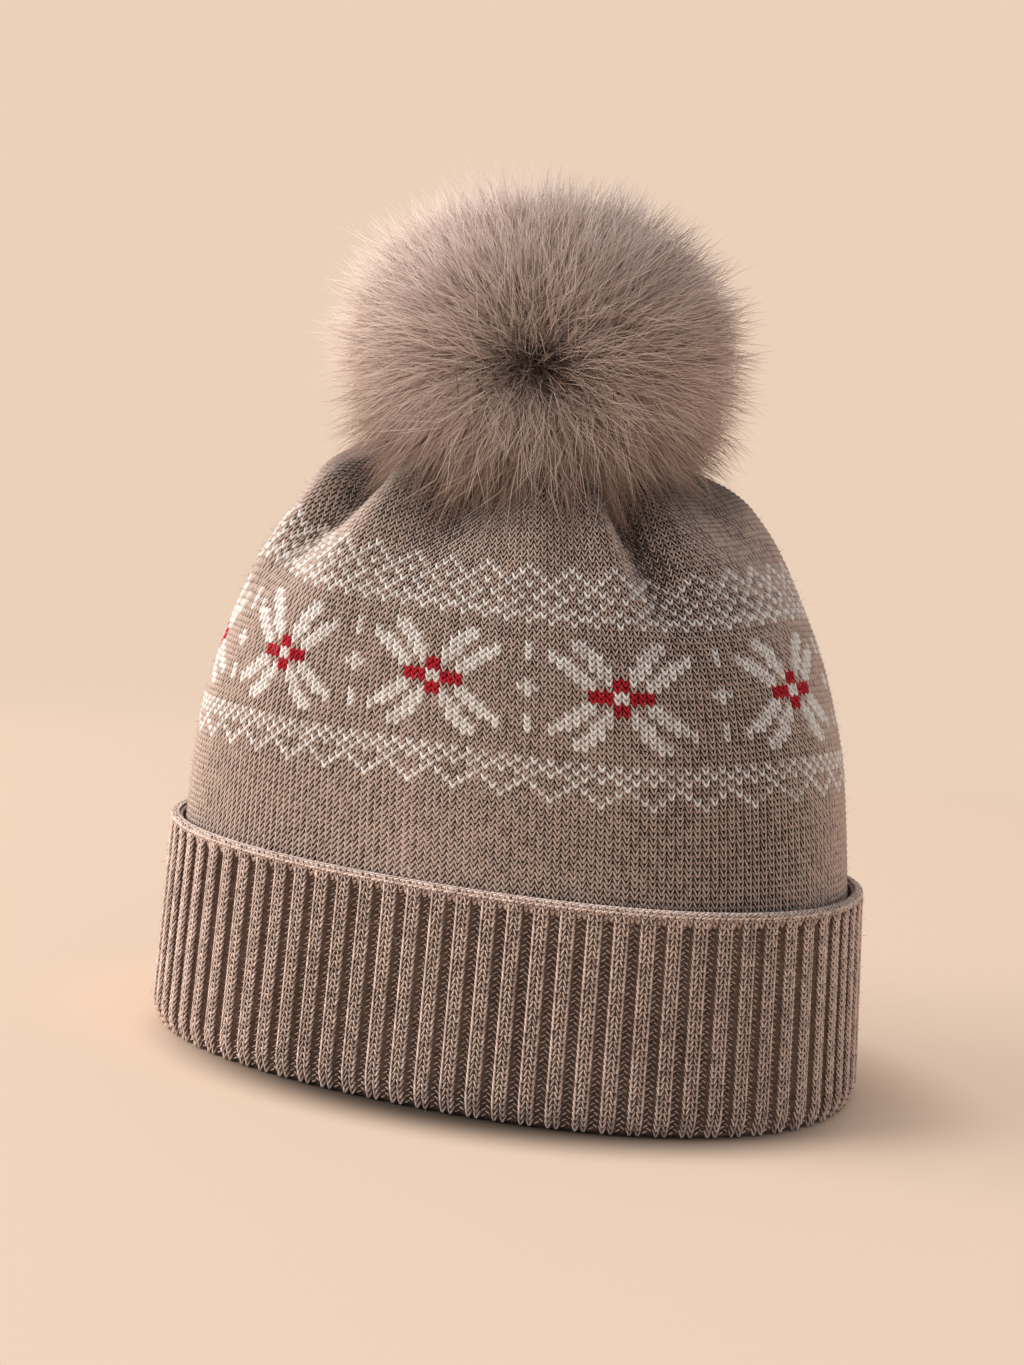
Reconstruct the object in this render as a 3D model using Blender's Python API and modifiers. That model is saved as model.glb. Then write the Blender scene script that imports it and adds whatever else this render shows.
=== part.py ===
"""Knitted bobble hat standing on its folded rib cuff.

Four pieces: a ribbed cuff folded up outside its own band, a knitted crown drawn
together at the top, a fur pompom, and the sewn tie that holds the pompom.
Metres, +Z up. X runs along the oval of the cuff, and the cuff rests on Z = 0.
"""
import math
from collections import namedtuple

import bmesh
import bpy
import numpy as np

# Driving dimensions, in metres

CUFF_LENGTH = 0.210           # outside, along X, at the fold
CUFF_WIDTH = 0.155            # outside, along Y, at the fold
CUFF_HEIGHT = 0.060           # folded height
CUFF_TAPER_LENGTH = 0.0048    # the cuff's top edge is this much shorter
CUFF_TAPER_WIDTH = 0.0095     # and this much narrower
CUFF_LEAN_X = -0.0015         # its top edge leans this far along X
CUFF_SQUARENESS = 2.2         # 2 is an ellipse, more is boxier
RIBS = 80                     # ribs round the cuff
RIB_RELIEF = 0.0013           # a groove's depth below the ribs
TURNED_WALL = 0.0030          # the layer that is folded up, at a rib
BAND_WALL = 0.0022            # the layer against the head
FOLD_EASE = 0.0014            # slack between the two layers
FOLD_ROUND = 0.0022           # rounding of the fold and of the turned edge

CROWN_WALL = 0.0022           # the patterned knit
CROWN_RISE = 0.115            # from the cuff's top edge to the crown's highest ring
CROWN_OVERLAP = 0.016         # how far the crown goes down behind the cuff
CROWN_LEAN_X = -0.0039        # the top leans this far along X
CROWN_LEAN_Y = -0.002         # and this far along Y
GATHER_RELIEF = 0.0048        # the deepest gather
EYE_RADIUS = 0.0045           # the eye that the drawn top leaves

POMPOM_WIDTH = 0.107          # across the ends of the dense fur
POMPOM_HEIGHT = 0.088         # the same, if the crown did not flatten it
POMPOM_SINK = 0.013           # how far its round form is flattened by the crown
POMPOM_FULLNESS = 3.4         # squareness of its lower half, 2 is an ellipse
LOCK_LENGTH = 0.0105          # how far a lock stands out of the head
LOCK_LEAN = 0.0060            # how far a lock's tip is combed aside
LOCK_HANG = 0.0070            # how far the lower locks hang down over the crown
FUR_CLEARANCE = 0.0016        # the fur's underside to the crown's shoulder
RIDGE_SEARCH = 7.0            # degrees to each side in which a lock clears ridges

TIE_RADIUS = 0.0032           # sewn shank through the eye
BUTTON_RADIUS = 0.0080        # backing button inside the crown
BUTTON_THICKNESS = 0.0022

FIT_GAP = 0.0003              # between pieces that touch

# Crown sections from its lower edge to the eye. Rise is a share of the crown's
# whole height, length and width are shares of its lower edge, lean is a share
# of the two lean sizes.
Section = namedtuple("Section", "rise length width lean squareness")
CROWN_SECTIONS = (
    Section(0.000, 1.000, 1.000, 0.00, 2.20),
    Section(0.150, 0.990, 0.988, 0.15, 2.14),
    Section(0.360, 0.961, 1.004, 0.32, 2.08),
    Section(0.550, 0.889, 1.013, 0.34, 2.04),
    Section(0.720, 0.794, 0.944, 0.55, 2.02),
    Section(0.860, 0.672, 0.825, 0.70, 2.00),
    Section(0.948, 0.546, 0.685, 0.85, 2.00),
    Section(0.990, 0.384, 0.503, 0.95, 2.00),
    Section(1.000, 0.243, 0.330, 1.00, 2.00),
    Section(0.985, 0.116, 0.165, 1.00, 2.00),
)

# Gathers of the drawn top. Bearing is where one starts under the pompom and
# slant how far it swings on its way down, in degrees; relief is a share of the
# deepest gather, below zero for a valley; spread is its half width in degrees;
# reach is the share of the crown's height where it dies out.
Gather = namedtuple("Gather", "bearing slant relief spread reach")
GATHERS = (
    Gather(-119, -19, -1.00, 7.0, 0.62),
    Gather(-106, -14, 0.60, 9.0, 0.50),
    Gather(-88, -7, -0.70, 9.0, 0.68),
    Gather(-66, -5, 0.55, 7.0, 0.66),
    Gather(-53, 4, 0.70, 5.5, 0.60),
    Gather(-45, 6, -1.00, 5.5, 0.62),
    Gather(-12, 6, -0.35, 9.0, 0.72),
    Gather(9, 5, 0.35, 9.0, 0.70),
    Gather(30, 6, -0.70, 8.0, 0.66),
    Gather(52, 3, 0.50, 9.0, 0.62),
    Gather(73, 2, -0.90, 8.0, 0.60),
    Gather(95, 0, 0.50, 9.0, 0.62),
    Gather(117, -3, -0.80, 8.0, 0.64),
    Gather(139, -4, 0.45, 9.0, 0.66),
    Gather(160, -6, -0.90, 8.0, 0.62),
    Gather(-176, -8, 0.50, 9.0, 0.64),
    Gather(-152, -12, -0.60, 8.0, 0.66),
    Gather(-134, -16, 0.50, 7.0, 0.60),
)
GATHER_START = 0.985          # share of the height where a gather begins
GATHER_FULL = 0.900           # and where it is deepest

# The section of one rib, as shares of the pitch from its groove's middle, and
# the share of the relief that the groove takes there.
RibPoint = namedtuple("RibPoint", "across cut")
RIB_SECTION = (
    RibPoint(-0.09, 1.0),
    RibPoint(0.09, 1.0),
    RibPoint(0.22, 0.0),
    RibPoint(0.78, 0.0),
)
FIRST_GROOVE = 0.6012         # share of the way round, from +X, of one groove

# The roundings at the fold's outside, at the turned edge and at the fold's inside,
# as shares of the rounding: inset from the face, distance from the end, and the
# share of the rib relief that shows there.
RoundPoint = namedtuple("RoundPoint", "inset height relief")
FOLD_POINTS = (RoundPoint(0.25, 0.45, 0.7), RoundPoint(0.0, 1.5, 1.0))
EDGE_POINTS = (RoundPoint(0.0, 1.0, 1.0), RoundPoint(0.2, 0.3, 0.5))
BAND_POINTS = (RoundPoint(0.35, 0.3, 0.0), RoundPoint(0.8, 0.0, 0.0))
EDGE_CREST = 0.58             # share of the turned layer where its edge is highest
EDGE_DROP = 0.4               # share of the rounding that the edge drops behind

# The fur is parted where its pelt is drawn together.
PARTING_BEARING = -66.5       # degrees from +X
PARTING_TILT = -1.0           # degrees above the horizontal
PARTING_DIMPLE = 0.004
PARTING_SPREAD = 0.35         # radians over which the dimple dies out

# How its locks lie, as shares of the round form's radius
COMBING_EASE = 0.2            # from the parting, where a lock is not yet combed aside
LYING_DEPTH = 0.95            # below the middle, where a lock lies flat
STANDING_RISE = 0.4           # and above that, where it stands
HANGING_DEPTH = 0.6           # below the middle, where it hangs all the way
POLE_REACH = 0.01             # from the lowest point, where the form is not filled out
LOCK_OUTSIDE = 0.25           # share of a lock that stands out of the dense fur

# Mesh fineness
CROWN_COLUMNS = 80
ROWS_PER_SECTION = 2
FINE_STEPS = 4096             # steps for measuring the oval's length
TIE_SIDES = 16
POMPOM_SUBDIVISIONS = 3
SLOPE_STEP = 0.01             # section share and radians across which a slope is taken
SEARCH_STEPS = 30             # halvings that find the crown's height under a point

# Finishes, with 0 to 255 screen colours
SCREEN_GAMMA = 2.2
Finish = namedtuple("Finish", "colour roughness sheen")
FINISHES = {
    "rib_knit": Finish((150, 128, 115), 0.92, 0.4),
    "patterned_knit": Finish((140, 117, 105), 0.93, 0.4),
    "fur": Finish((134, 110, 100), 0.85, 0.6),
    "sewn_tie": Finish((96, 80, 72), 0.90, 0.2),
}

# Sizes that follow

cuff_band_top = CUFF_HEIGHT - CROWN_OVERLAP
crown_bottom = cuff_band_top + FIT_GAP
crown_height = CUFF_HEIGHT + CROWN_RISE - crown_bottom
eye_height = crown_bottom + crown_height * CROWN_SECTIONS[-1].rise
cuff_gap_inset = TURNED_WALL + FOLD_EASE
crown_foot_x = CUFF_LEAN_X * cuff_band_top / CUFF_HEIGHT
eye_x = crown_foot_x + CROWN_LEAN_X
eye_y = CROWN_LEAN_Y
pompom_floor = eye_height + FIT_GAP
pompom_middle = np.array([eye_x, eye_y, eye_height - POMPOM_SINK + POMPOM_HEIGHT / 2])


def srgb(red, green, blue):
    """A colour given as 0 to 255 screen values, as the shader wants it."""
    return tuple((value / 255) ** SCREEN_GAMMA for value in (red, green, blue)) + (1.0,)


def clear_scene():
    """Start from an empty file."""
    for thing in list(bpy.data.objects):
        bpy.data.objects.remove(thing, do_unlink=True)


def material(name):
    """One of the soft finishes, of one colour."""
    look = FINISHES[name]
    finish = bpy.data.materials.new(name)
    finish.use_nodes = True
    shader = finish.node_tree.nodes["Principled BSDF"]
    shader.inputs["Base Color"].default_value = srgb(*look.colour)
    shader.inputs["Roughness"].default_value = look.roughness
    shader.inputs["Metallic"].default_value = 0.0
    shader.inputs["Sheen Weight"].default_value = look.sheen
    return finish


def piece(name, shape, finish, collection):
    """Turn a bmesh into a named object with its own finish."""
    mesh = bpy.data.meshes.new(name)
    shape.to_mesh(mesh)
    shape.free()
    mesh.materials.append(finish)
    mesh.shade_smooth()
    thing = bpy.data.objects.new(name, mesh)
    collection.objects.link(thing)
    return thing


def oval(angle, half_length, half_width, squareness):
    """Points and outward normals of a rounded oval, as two arrays of x and y."""
    power = 2.0 / squareness
    across = np.cos(angle)
    along = np.sin(angle)
    unit_x = np.sign(across) * np.abs(across) ** power
    unit_y = np.sign(along) * np.abs(along) ** power
    points = np.stack([half_length * unit_x, half_width * unit_y], axis=-1)
    normals = np.stack([
        np.sign(unit_x) * np.abs(unit_x) ** (squareness - 1) / half_length,
        np.sign(unit_y) * np.abs(unit_y) ** (squareness - 1) / half_width,
    ], axis=-1)
    return points, normals / np.linalg.norm(normals, axis=-1, keepdims=True)


def even_angles(shares, half_length, half_width, squareness):
    """The oval's angles at given shares of its length, from +X round to the left."""
    fine = np.linspace(0.0, 2 * math.pi, FINE_STEPS + 1)
    points, _ = oval(fine, half_length, half_width, squareness)
    steps = np.linalg.norm(np.diff(points, axis=0), axis=1)
    travelled = np.concatenate([[0.0], np.cumsum(steps)]) / steps.sum()
    return np.interp(np.mod(shares, 1.0), travelled, fine)


def cuff_half_sizes(height):
    """The cuff's outer half length and half width at a height."""
    share = height / CUFF_HEIGHT
    return (
        (CUFF_LENGTH - CUFF_TAPER_LENGTH * share) / 2,
        (CUFF_WIDTH - CUFF_TAPER_WIDTH * share) / 2,
    )


def add_ring(shape, angles, inset, height):
    """A ring of vertices, set in from the cuff's outer face."""
    points, normals = oval(angles, *cuff_half_sizes(height), CUFF_SQUARENESS)
    placed = points - normals * np.reshape(inset, (-1, 1))
    lean = CUFF_LEAN_X * height / CUFF_HEIGHT
    return [shape.verts.new((x + lean, y, height)) for x, y in placed]


def bridge(shape, lower, upper):
    """Join two rings. Either may have a whole number of times more vertices."""
    fewer = min(len(lower), len(upper))
    low_step = len(lower) // fewer
    high_step = len(upper) // fewer
    for index in range(fewer):
        low = [lower[(index * low_step + k) % len(lower)] for k in range(low_step + 1)]
        high = [upper[(index * high_step + k) % len(upper)] for k in range(high_step + 1)]
        shape.faces.new(low + high[::-1])


def build_cuff(collection):
    """The rib band folded up outside itself, a U section taken round the oval."""
    shape = bmesh.new()
    half_length, half_width = cuff_half_sizes(CUFF_HEIGHT / 2)
    groove_shares = FIRST_GROOVE + np.arange(RIBS) / RIBS
    rib_shares = np.array([
        share + point.across / RIBS for share in groove_shares for point in RIB_SECTION
    ])
    cuts = np.array([point.cut for _ in range(RIBS) for point in RIB_SECTION])
    rib_angles = even_angles(rib_shares, half_length, half_width, CUFF_SQUARENESS)
    plain_angles = even_angles(groove_shares, half_length, half_width, CUFF_SQUARENESS)

    def ribbed(inset, height, share_of_relief):
        return add_ring(shape, rib_angles, inset + cuts * RIB_RELIEF * share_of_relief, height)

    def plain(inset, height):
        return add_ring(shape, plain_angles, inset, height)

    whole = TURNED_WALL + FOLD_EASE + BAND_WALL
    fold_inside = TURNED_WALL
    rings = [
        plain(FOLD_ROUND, 0.0),
        *[ribbed(FOLD_ROUND * point.inset, FOLD_ROUND * point.height, point.relief)
          for point in FOLD_POINTS],
        *[ribbed(FOLD_ROUND * point.inset, CUFF_HEIGHT - FOLD_ROUND * point.height, point.relief)
          for point in EDGE_POINTS],
        plain(TURNED_WALL * EDGE_CREST, CUFF_HEIGHT),
        plain(TURNED_WALL, CUFF_HEIGHT - FOLD_ROUND * EDGE_DROP),
        plain(TURNED_WALL, fold_inside + FOLD_EASE),
        plain(TURNED_WALL + FOLD_EASE / 2, fold_inside),
        plain(cuff_gap_inset, fold_inside + FOLD_EASE),
        plain(cuff_gap_inset, cuff_band_top),
        plain(whole, cuff_band_top),
        plain(whole, FOLD_ROUND),
        *[plain(whole - FOLD_ROUND * point.inset, FOLD_ROUND * point.height)
          for point in BAND_POINTS],
    ]
    for index, ring in enumerate(rings):
        bridge(shape, ring, rings[(index + 1) % len(rings)])
    bmesh.ops.triangulate(shape, faces=shape.faces[:])
    return piece("ribbed_cuff", shape, material("rib_knit"), collection)


def section_column(column, place):
    """Read a column of the section table smoothly, with no overshoot."""
    values = np.array([getattr(section, column) for section in CROWN_SECTIONS])
    steps = np.diff(values)
    before, after = steps[:-1], steps[1:]
    same_way = before * after > 0
    sums = np.where(same_way, before + after, 1.0)
    inner = np.where(same_way, 2 * before * after / sums, 0.0)
    first = steps[0] if column == "rise" else 0.0
    slopes = np.concatenate([[first], inner, [steps[-1]]])
    low = np.clip(np.floor(place).astype(int), 0, len(values) - 2)
    t = place - low
    return (
        (2 * t**3 - 3 * t**2 + 1) * values[low]
        + (t**3 - 2 * t**2 + t) * slopes[low]
        + (3 * t**2 - 2 * t**3) * values[low + 1]
        + (t**3 - t**2) * slopes[low + 1]
    )


def crown_form(place, angle):
    """The crown's outer surface before it is gathered, as points."""
    base_length, base_width = cuff_half_sizes(cuff_band_top)
    rise, length, width, lean, squareness = (
        section_column(column, place) for column in Section._fields
    )
    power = 2.0 / squareness
    across = np.cos(angle)
    along = np.sin(angle)
    x = (base_length - cuff_gap_inset) * length * np.sign(across) * np.abs(across) ** power
    y = (base_width - cuff_gap_inset) * width * np.sign(along) * np.abs(along) ** power
    z = crown_bottom + crown_height * rise
    middle_x = crown_foot_x + CROWN_LEAN_X * lean
    return np.stack([middle_x + x, CROWN_LEAN_Y * lean + y, z + 0 * x], axis=-1)


def ease(value):
    """A smooth step from 0 to 1."""
    t = np.clip(value, 0.0, 1.0)
    return t * t * (3 - 2 * t)


def gather_relief(place, angle):
    """How far the gathers stand out of the crown's form."""
    rise = section_column("rise", place)
    onset = ease((GATHER_START - rise) / (GATHER_START - GATHER_FULL))
    relief = np.zeros(np.broadcast(place, angle).shape)
    for gather in GATHERS:
        way_down = np.clip((GATHER_FULL - rise) / (GATHER_FULL - gather.reach), 0.0, 1.0)
        middle = np.radians(gather.bearing + gather.slant * way_down)
        apart = np.abs(np.mod(angle - middle + math.pi, 2 * math.pi) - math.pi)
        hump = np.exp(-((apart / np.radians(gather.spread)) ** 2))
        relief += gather.relief * hump * onset * (1 - ease(way_down))
    return relief * GATHER_RELIEF


def crown_surface(place, angle):
    """The crown's outer surface, gathered along its own normals."""
    form = crown_form(place, angle)
    upward = crown_form(place + SLOPE_STEP, angle) - crown_form(place - SLOPE_STEP, angle)
    around = crown_form(place, angle + SLOPE_STEP) - crown_form(place, angle - SLOPE_STEP)
    normals = np.cross(around, upward)
    normals /= np.linalg.norm(normals, axis=-1, keepdims=True)
    return form + normals * gather_relief(place, angle)[..., None]


def build_crown(collection):
    """An open knitted shell, its top drawn in to a small eye."""
    shape = bmesh.new()
    last_section = len(CROWN_SECTIONS) - 1
    places = np.linspace(0.0, last_section, last_section * ROWS_PER_SECTION + 1)
    base = cuff_half_sizes(cuff_band_top)
    angles = even_angles(np.arange(CROWN_COLUMNS) / CROWN_COLUMNS, *base, CUFF_SQUARENESS)
    grid = crown_surface(places[:, None], angles[None, :])
    eye = np.stack([
        eye_x + EYE_RADIUS * np.cos(angles),
        eye_y + EYE_RADIUS * np.sin(angles),
        np.full(CROWN_COLUMNS, eye_height),
    ], axis=-1)
    rings = [[shape.verts.new(point) for point in row] for row in [*grid, eye]]
    for lower, upper in zip(rings, rings[1:]):
        bridge(shape, lower, upper)
    crown = piece("knit_crown", shape, material("patterned_knit"), collection)
    wall = crown.modifiers.new("wall", "SOLIDIFY")
    wall.thickness = CROWN_WALL
    wall.offset = -1.0
    wall.use_quality_normals = True
    return crown


def crown_over(x, y):
    """How high the gathered crown stands over a point, or its foot if beside it."""
    quarters = np.radians([0, 90, 180, 270])
    low, high = 0.0, len(CROWN_SECTIONS) - 1.0
    for _ in range(SEARCH_STEPS):
        place = (low + high) / 2
        east, north, west, south = crown_form(np.array(place), quarters)
        across = (2 * x - east[0] - west[0]) / (east[0] - west[0])
        along = (2 * y - north[1] - south[1]) / (north[1] - south[1])
        low, high = (place, high) if across**2 + along**2 < 1 else (low, place)
    bearings = math.atan2(along, across) + np.radians([-RIDGE_SEARCH, 0.0, RIDGE_SEARCH])
    ridge = float(gather_relief(np.array(low), bearings).max())
    return float(crown_form(np.array(low), np.array(0.0))[2]) + max(ridge, 0.0)


def above_crown(point):
    """Lift a point of the fur clear of the crown that it lies on."""
    x, y, z = point
    off_centre = math.hypot(x - eye_x, y - eye_y)
    floor = pompom_floor if off_centre < BUTTON_RADIUS else crown_over(x, y) + FUR_CLEARANCE
    return np.array([x, y, max(z, floor)])


def build_pompom(collection):
    """A fur head whose locks are combed away from the parting."""
    bearing = math.radians(PARTING_BEARING)
    tilt = math.radians(PARTING_TILT)
    parting = np.array([
        math.cos(bearing) * math.cos(tilt),
        math.sin(bearing) * math.cos(tilt),
        math.sin(tilt),
    ])
    tips = np.array([POMPOM_WIDTH / 2, POMPOM_WIDTH / 2, POMPOM_HEIGHT / 2])
    head = tips - LOCK_LENGTH * (1 - LOCK_OUTSIDE)

    def swell(direction):
        """Fill out the lower half, which hangs over the crown's shoulder."""
        flat = math.hypot(direction[0], direction[1])
        if direction[2] >= 0 or flat < POLE_REACH:
            return 1.0
        reach = flat**POMPOM_FULLNESS + abs(direction[2]) ** POMPOM_FULLNESS
        return reach ** (-1 / POMPOM_FULLNESS)

    def dimple(direction):
        """How far the fur dips at the parting."""
        turn = math.acos(max(-1.0, min(1.0, float(direction @ parting))))
        return PARTING_DIMPLE * math.exp(-((turn / PARTING_SPREAD) ** 2))

    shape = bmesh.new()
    bmesh.ops.create_icosphere(shape, subdivisions=POMPOM_SUBDIVISIONS, radius=1.0)
    locks = set(bmesh.ops.poke(shape, faces=shape.faces[:])["verts"])
    for vert in shape.verts:
        direction = np.array(vert.co) / vert.co.length
        size = (tips if vert in locks else head) * swell(direction)
        point = pompom_middle + direction * (size - dimple(direction))
        if vert in locks:
            away = direction * float(direction @ parting) - parting
            combed = away / max(np.linalg.norm(away), COMBING_EASE)
            standing = ease((direction[2] + LYING_DEPTH) / STANDING_RISE)
            point += (combed * LOCK_LEAN + direction * LOCK_LENGTH * LOCK_OUTSIDE) * standing
            point[2] -= LOCK_HANG * ease(-direction[2] / HANGING_DEPTH)
        vert.co = above_crown(point)
    return piece("pompom", shape, material("fur"), collection)


def build_tie(collection):
    """The shank sewn through the eye, with its backing button inside the crown."""
    shape = bmesh.new()
    button_top = eye_height - CROWN_WALL - FIT_GAP
    profile = (
        (BUTTON_RADIUS, button_top - BUTTON_THICKNESS),
        (BUTTON_RADIUS, button_top),
        (TIE_RADIUS, button_top),
        (TIE_RADIUS, eye_height),
    )
    turns = np.arange(TIE_SIDES) * 2 * math.pi / TIE_SIDES
    rings = [
        [shape.verts.new((
            eye_x + radius * math.cos(turn),
            eye_y + radius * math.sin(turn),
            height,
        )) for turn in turns]
        for radius, height in profile
    ]
    for lower, upper in zip(rings, rings[1:]):
        bridge(shape, lower, upper)
    shape.faces.new(rings[0][::-1])
    shape.faces.new(rings[-1])
    return piece("pompom_tie", shape, material("sewn_tie"), collection)


clear_scene()
hat = bpy.data.collections.new("pompom_beanie")
bpy.context.scene.collection.children.link(hat)
build_cuff(hat)
build_crown(hat)
build_pompom(hat)
build_tie(hat)
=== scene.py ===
"""Looks of a knitted bobble hat that stands on its folded rib cuff. Metres, +Z up."""
import math
from collections import namedtuple

import bmesh
import bpy
import numpy as np
from mathutils import Matrix


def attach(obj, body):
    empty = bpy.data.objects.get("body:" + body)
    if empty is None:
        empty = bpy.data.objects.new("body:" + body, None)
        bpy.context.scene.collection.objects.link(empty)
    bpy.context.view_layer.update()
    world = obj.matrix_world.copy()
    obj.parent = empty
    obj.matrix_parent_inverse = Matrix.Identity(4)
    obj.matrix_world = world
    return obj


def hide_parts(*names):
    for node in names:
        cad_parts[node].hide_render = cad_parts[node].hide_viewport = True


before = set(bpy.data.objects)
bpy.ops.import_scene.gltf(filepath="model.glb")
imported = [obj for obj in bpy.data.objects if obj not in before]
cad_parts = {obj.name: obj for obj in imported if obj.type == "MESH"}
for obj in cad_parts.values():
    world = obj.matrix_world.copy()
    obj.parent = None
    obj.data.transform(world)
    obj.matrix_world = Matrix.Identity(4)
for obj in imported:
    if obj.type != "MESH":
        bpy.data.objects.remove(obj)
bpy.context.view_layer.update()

# The studio. One sheet of pale warm paper runs under the hat and up behind it, a large soft window
# stands at the left, and a weak even light fills the rest. The camera looks a little down at the hat.
CAMERA_PLACE = np.array([0.31381, -0.73621, 0.20192])
CAMERA_BEARING = 23.47        # degrees round from -Y
CAMERA_TILT = 6.749           # degrees down
CAMERA_ROLL = 5.1
CAMERA_LENS = 74.05
CAMERA_FILM = 36.0
PAPER_COLOUR = (235, 209, 186)
PAPER_WIDTH = 6.0
PAPER_FRONT = -3.0
PAPER_BACK = 1.6
PAPER_BEND = 1.0
PAPER_TOP = 3.0
BEND_STEPS = 24
PAPER_NEAR = 0.30             # between these distances the paper turns to an even light of its own
PAPER_FAR = 0.80
HAT_REACH_X = 0.105           # the cuff's half sizes on the paper, for the shadow painted round it and the glow
HAT_REACH_Y = 0.0775
SHADOW_SHIFT_X = 0.008        # the contact shadow painted into the paper lies this far towards the camera
SHADOW_SHIFT_Y = -0.024
SHADOW_START = 0.67           # shares of the hat's reach between which it fades out there
SHADOW_END = 1.04
SHADOW_FLOOR = 0.09           # how much light is left in it at the cuff's foot
GLOW_REACH = 1.5
PAPER_GLOW = 0.60             # share of its own light close to the hat, outside the contact shadow
WINDOW_PLACE = (-1.85, -0.16, 1.30)   # right of, beyond (away from the camera) and above the hat
WINDOW_SIZE = 1.6
WINDOW_POWER = 55.0
WINDOW_COLOUR = (255, 250, 246)
WINDOW_AIM = 0.12             # height on the hat that the window faces
FILL_STRENGTH = 0.58
FILL_COLOUR = (252, 251, 255)


def screen(red, green, blue):
    """A colour given as 0 to 255 screen values, as a shader wants it."""
    share = np.array([red, green, blue]) / 255
    linear = np.where(share < 0.04045, share / 12.92, ((share + 0.055) / 1.055) ** 2.4)
    return (*linear.tolist(), 1.0)


def add_node(tree, kind, inputs=None, **settings):
    """Add a node whose inputs take values, or sockets to link from."""
    node = tree.nodes.new(kind)
    for name, value in settings.items():
        setattr(node, name, value)
    for key, value in (inputs or {}).items():
        if isinstance(value, bpy.types.NodeSocket):
            tree.links.new(value, node.inputs[key])
        else:
            node.inputs[key].default_value = value
    return node


def reckoning(tree):
    """Short ways to reckon inside a tree: on numbers, on vectors, and a vector times a number."""
    def number(operation, *values):
        return add_node(tree, "ShaderNodeMath", dict(enumerate(values)),
                        operation=operation).outputs[0]

    def vector(operation, *values):
        kind = "Value" if operation in ("LENGTH", "DISTANCE", "DOT_PRODUCT") else "Vector"
        return add_node(tree, "ShaderNodeVectorMath", dict(enumerate(values)),
                        operation=operation).outputs[kind]

    def scaled(value, factor):
        return add_node(tree, "ShaderNodeVectorMath", {0: value, "Scale": factor},
                        operation="SCALE").outputs["Vector"]

    return number, vector, scaled


def fade(tree, value, start, end, low=0.0, high=1.0):
    """A smooth step from low to high, while a value goes from start to end."""
    return add_node(tree, "ShaderNodeMapRange", {
        "Value": value, "From Min": start, "From Max": end, "To Min": low, "To Max": high,
    }, interpolation_type="SMOOTHSTEP").outputs["Result"]


def new_finish(name, roughness, gloss):
    """A material with an even roughness and gloss, its node tree and its shader."""
    finish = bpy.data.materials.new(name)
    finish.use_nodes = True
    shader = finish.node_tree.nodes["Principled BSDF"]
    shader.inputs["Roughness"].default_value = roughness
    shader.inputs["Specular IOR Level"].default_value = gloss
    return finish, finish.node_tree, shader


def stand_at(place, right, up, back):
    """The matrix of a thing that stands at a place and looks away from its back."""
    turn = Matrix(np.column_stack([right, up, back]).tolist())
    return Matrix.Translation(place) @ turn.to_4x4()


def new_object(name, points, faces, finish=None):
    """A mesh object at the origin, smooth, from arrays of points and faces."""
    mesh = bpy.data.meshes.new(name)
    mesh.from_pydata(np.reshape(points, (-1, 3)).tolist(), [], faces)
    mesh.shade_smooth()
    if finish:
        mesh.materials.append(finish)
    thing = bpy.data.objects.new(name, mesh)
    bpy.context.scene.collection.objects.link(thing)
    return thing


bearing = math.radians(CAMERA_BEARING)
tilt = math.radians(CAMERA_TILT)
roll = math.radians(CAMERA_ROLL)
view_right = np.array([math.cos(bearing), math.sin(bearing), 0.0])
view_back = np.array([
    math.sin(bearing) * math.cos(tilt),
    -math.cos(bearing) * math.cos(tilt),
    math.sin(tilt),
])
view_up = np.cross(view_back, view_right)
film_right = view_right * math.cos(roll) + view_up * math.sin(roll)
film_up = view_up * math.cos(roll) - view_right * math.sin(roll)
camera = bpy.data.objects.new("camera", bpy.data.cameras.new("camera"))
camera.data.lens = CAMERA_LENS
camera.data.sensor_width = CAMERA_FILM
camera.matrix_world = stand_at(CAMERA_PLACE, film_right, film_up, view_back)
bpy.context.scene.collection.objects.link(camera)
bpy.context.scene.camera = camera
bpy.context.scene.view_settings.view_transform = "Standard"

away = np.array([-view_back[0], -view_back[1], 0.0]) / math.hypot(view_back[0], view_back[1])
bend = np.linspace(0.0, math.pi / 2, BEND_STEPS + 1)
depths = [PAPER_FRONT, *(PAPER_BACK + PAPER_BEND * np.sin(bend)), PAPER_BACK + PAPER_BEND]
heights = [0.0, *(PAPER_BEND * (1 - np.cos(bend))), PAPER_TOP]
paper_points = [
    away * depth + np.array([0, 0, height]) + view_right * side
    for depth, height in zip(depths, heights)
    for side in (-PAPER_WIDTH / 2, PAPER_WIDTH / 2)
]
paper_faces = [
    (2 * row, 2 * row + 1, 2 * row + 3, 2 * row + 2) for row in range(len(depths) - 1)
]
paper_finish, paper_tree, paper_shader = new_finish("pale_paper", roughness=1.0, gloss=0.0)
number, vector, scaled = reckoning(paper_tree)
paper_place = add_node(paper_tree, "ShaderNodeTexCoord").outputs["Object"]
paper_share = fade(paper_tree, vector("LENGTH", paper_place), PAPER_NEAR, PAPER_FAR)
paper_ring = vector("MULTIPLY", paper_place, (1 / HAT_REACH_X, 1 / HAT_REACH_Y, 0.0))
paper_close = fade(paper_tree, vector("LENGTH", paper_ring), 1.0, GLOW_REACH, high=PAPER_GLOW)
# A contact shadow is painted into the paper's colour, and so into its glow, darkest at the cuff's foot.
shadow_shift = (-SHADOW_SHIFT_X / HAT_REACH_X, -SHADOW_SHIFT_Y / HAT_REACH_Y, 0.0)
shadow_clear = vector("LENGTH", vector("ADD", paper_ring, shadow_shift))
painted_contact_shadow = fade(paper_tree, shadow_clear, SHADOW_START, SHADOW_END, low=SHADOW_FLOOR)
paper_colour_with_shadow = scaled(screen(*PAPER_COLOUR)[:3], painted_contact_shadow)
paper_tree.links.new(paper_colour_with_shadow, paper_shader.inputs["Base Color"])
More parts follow.
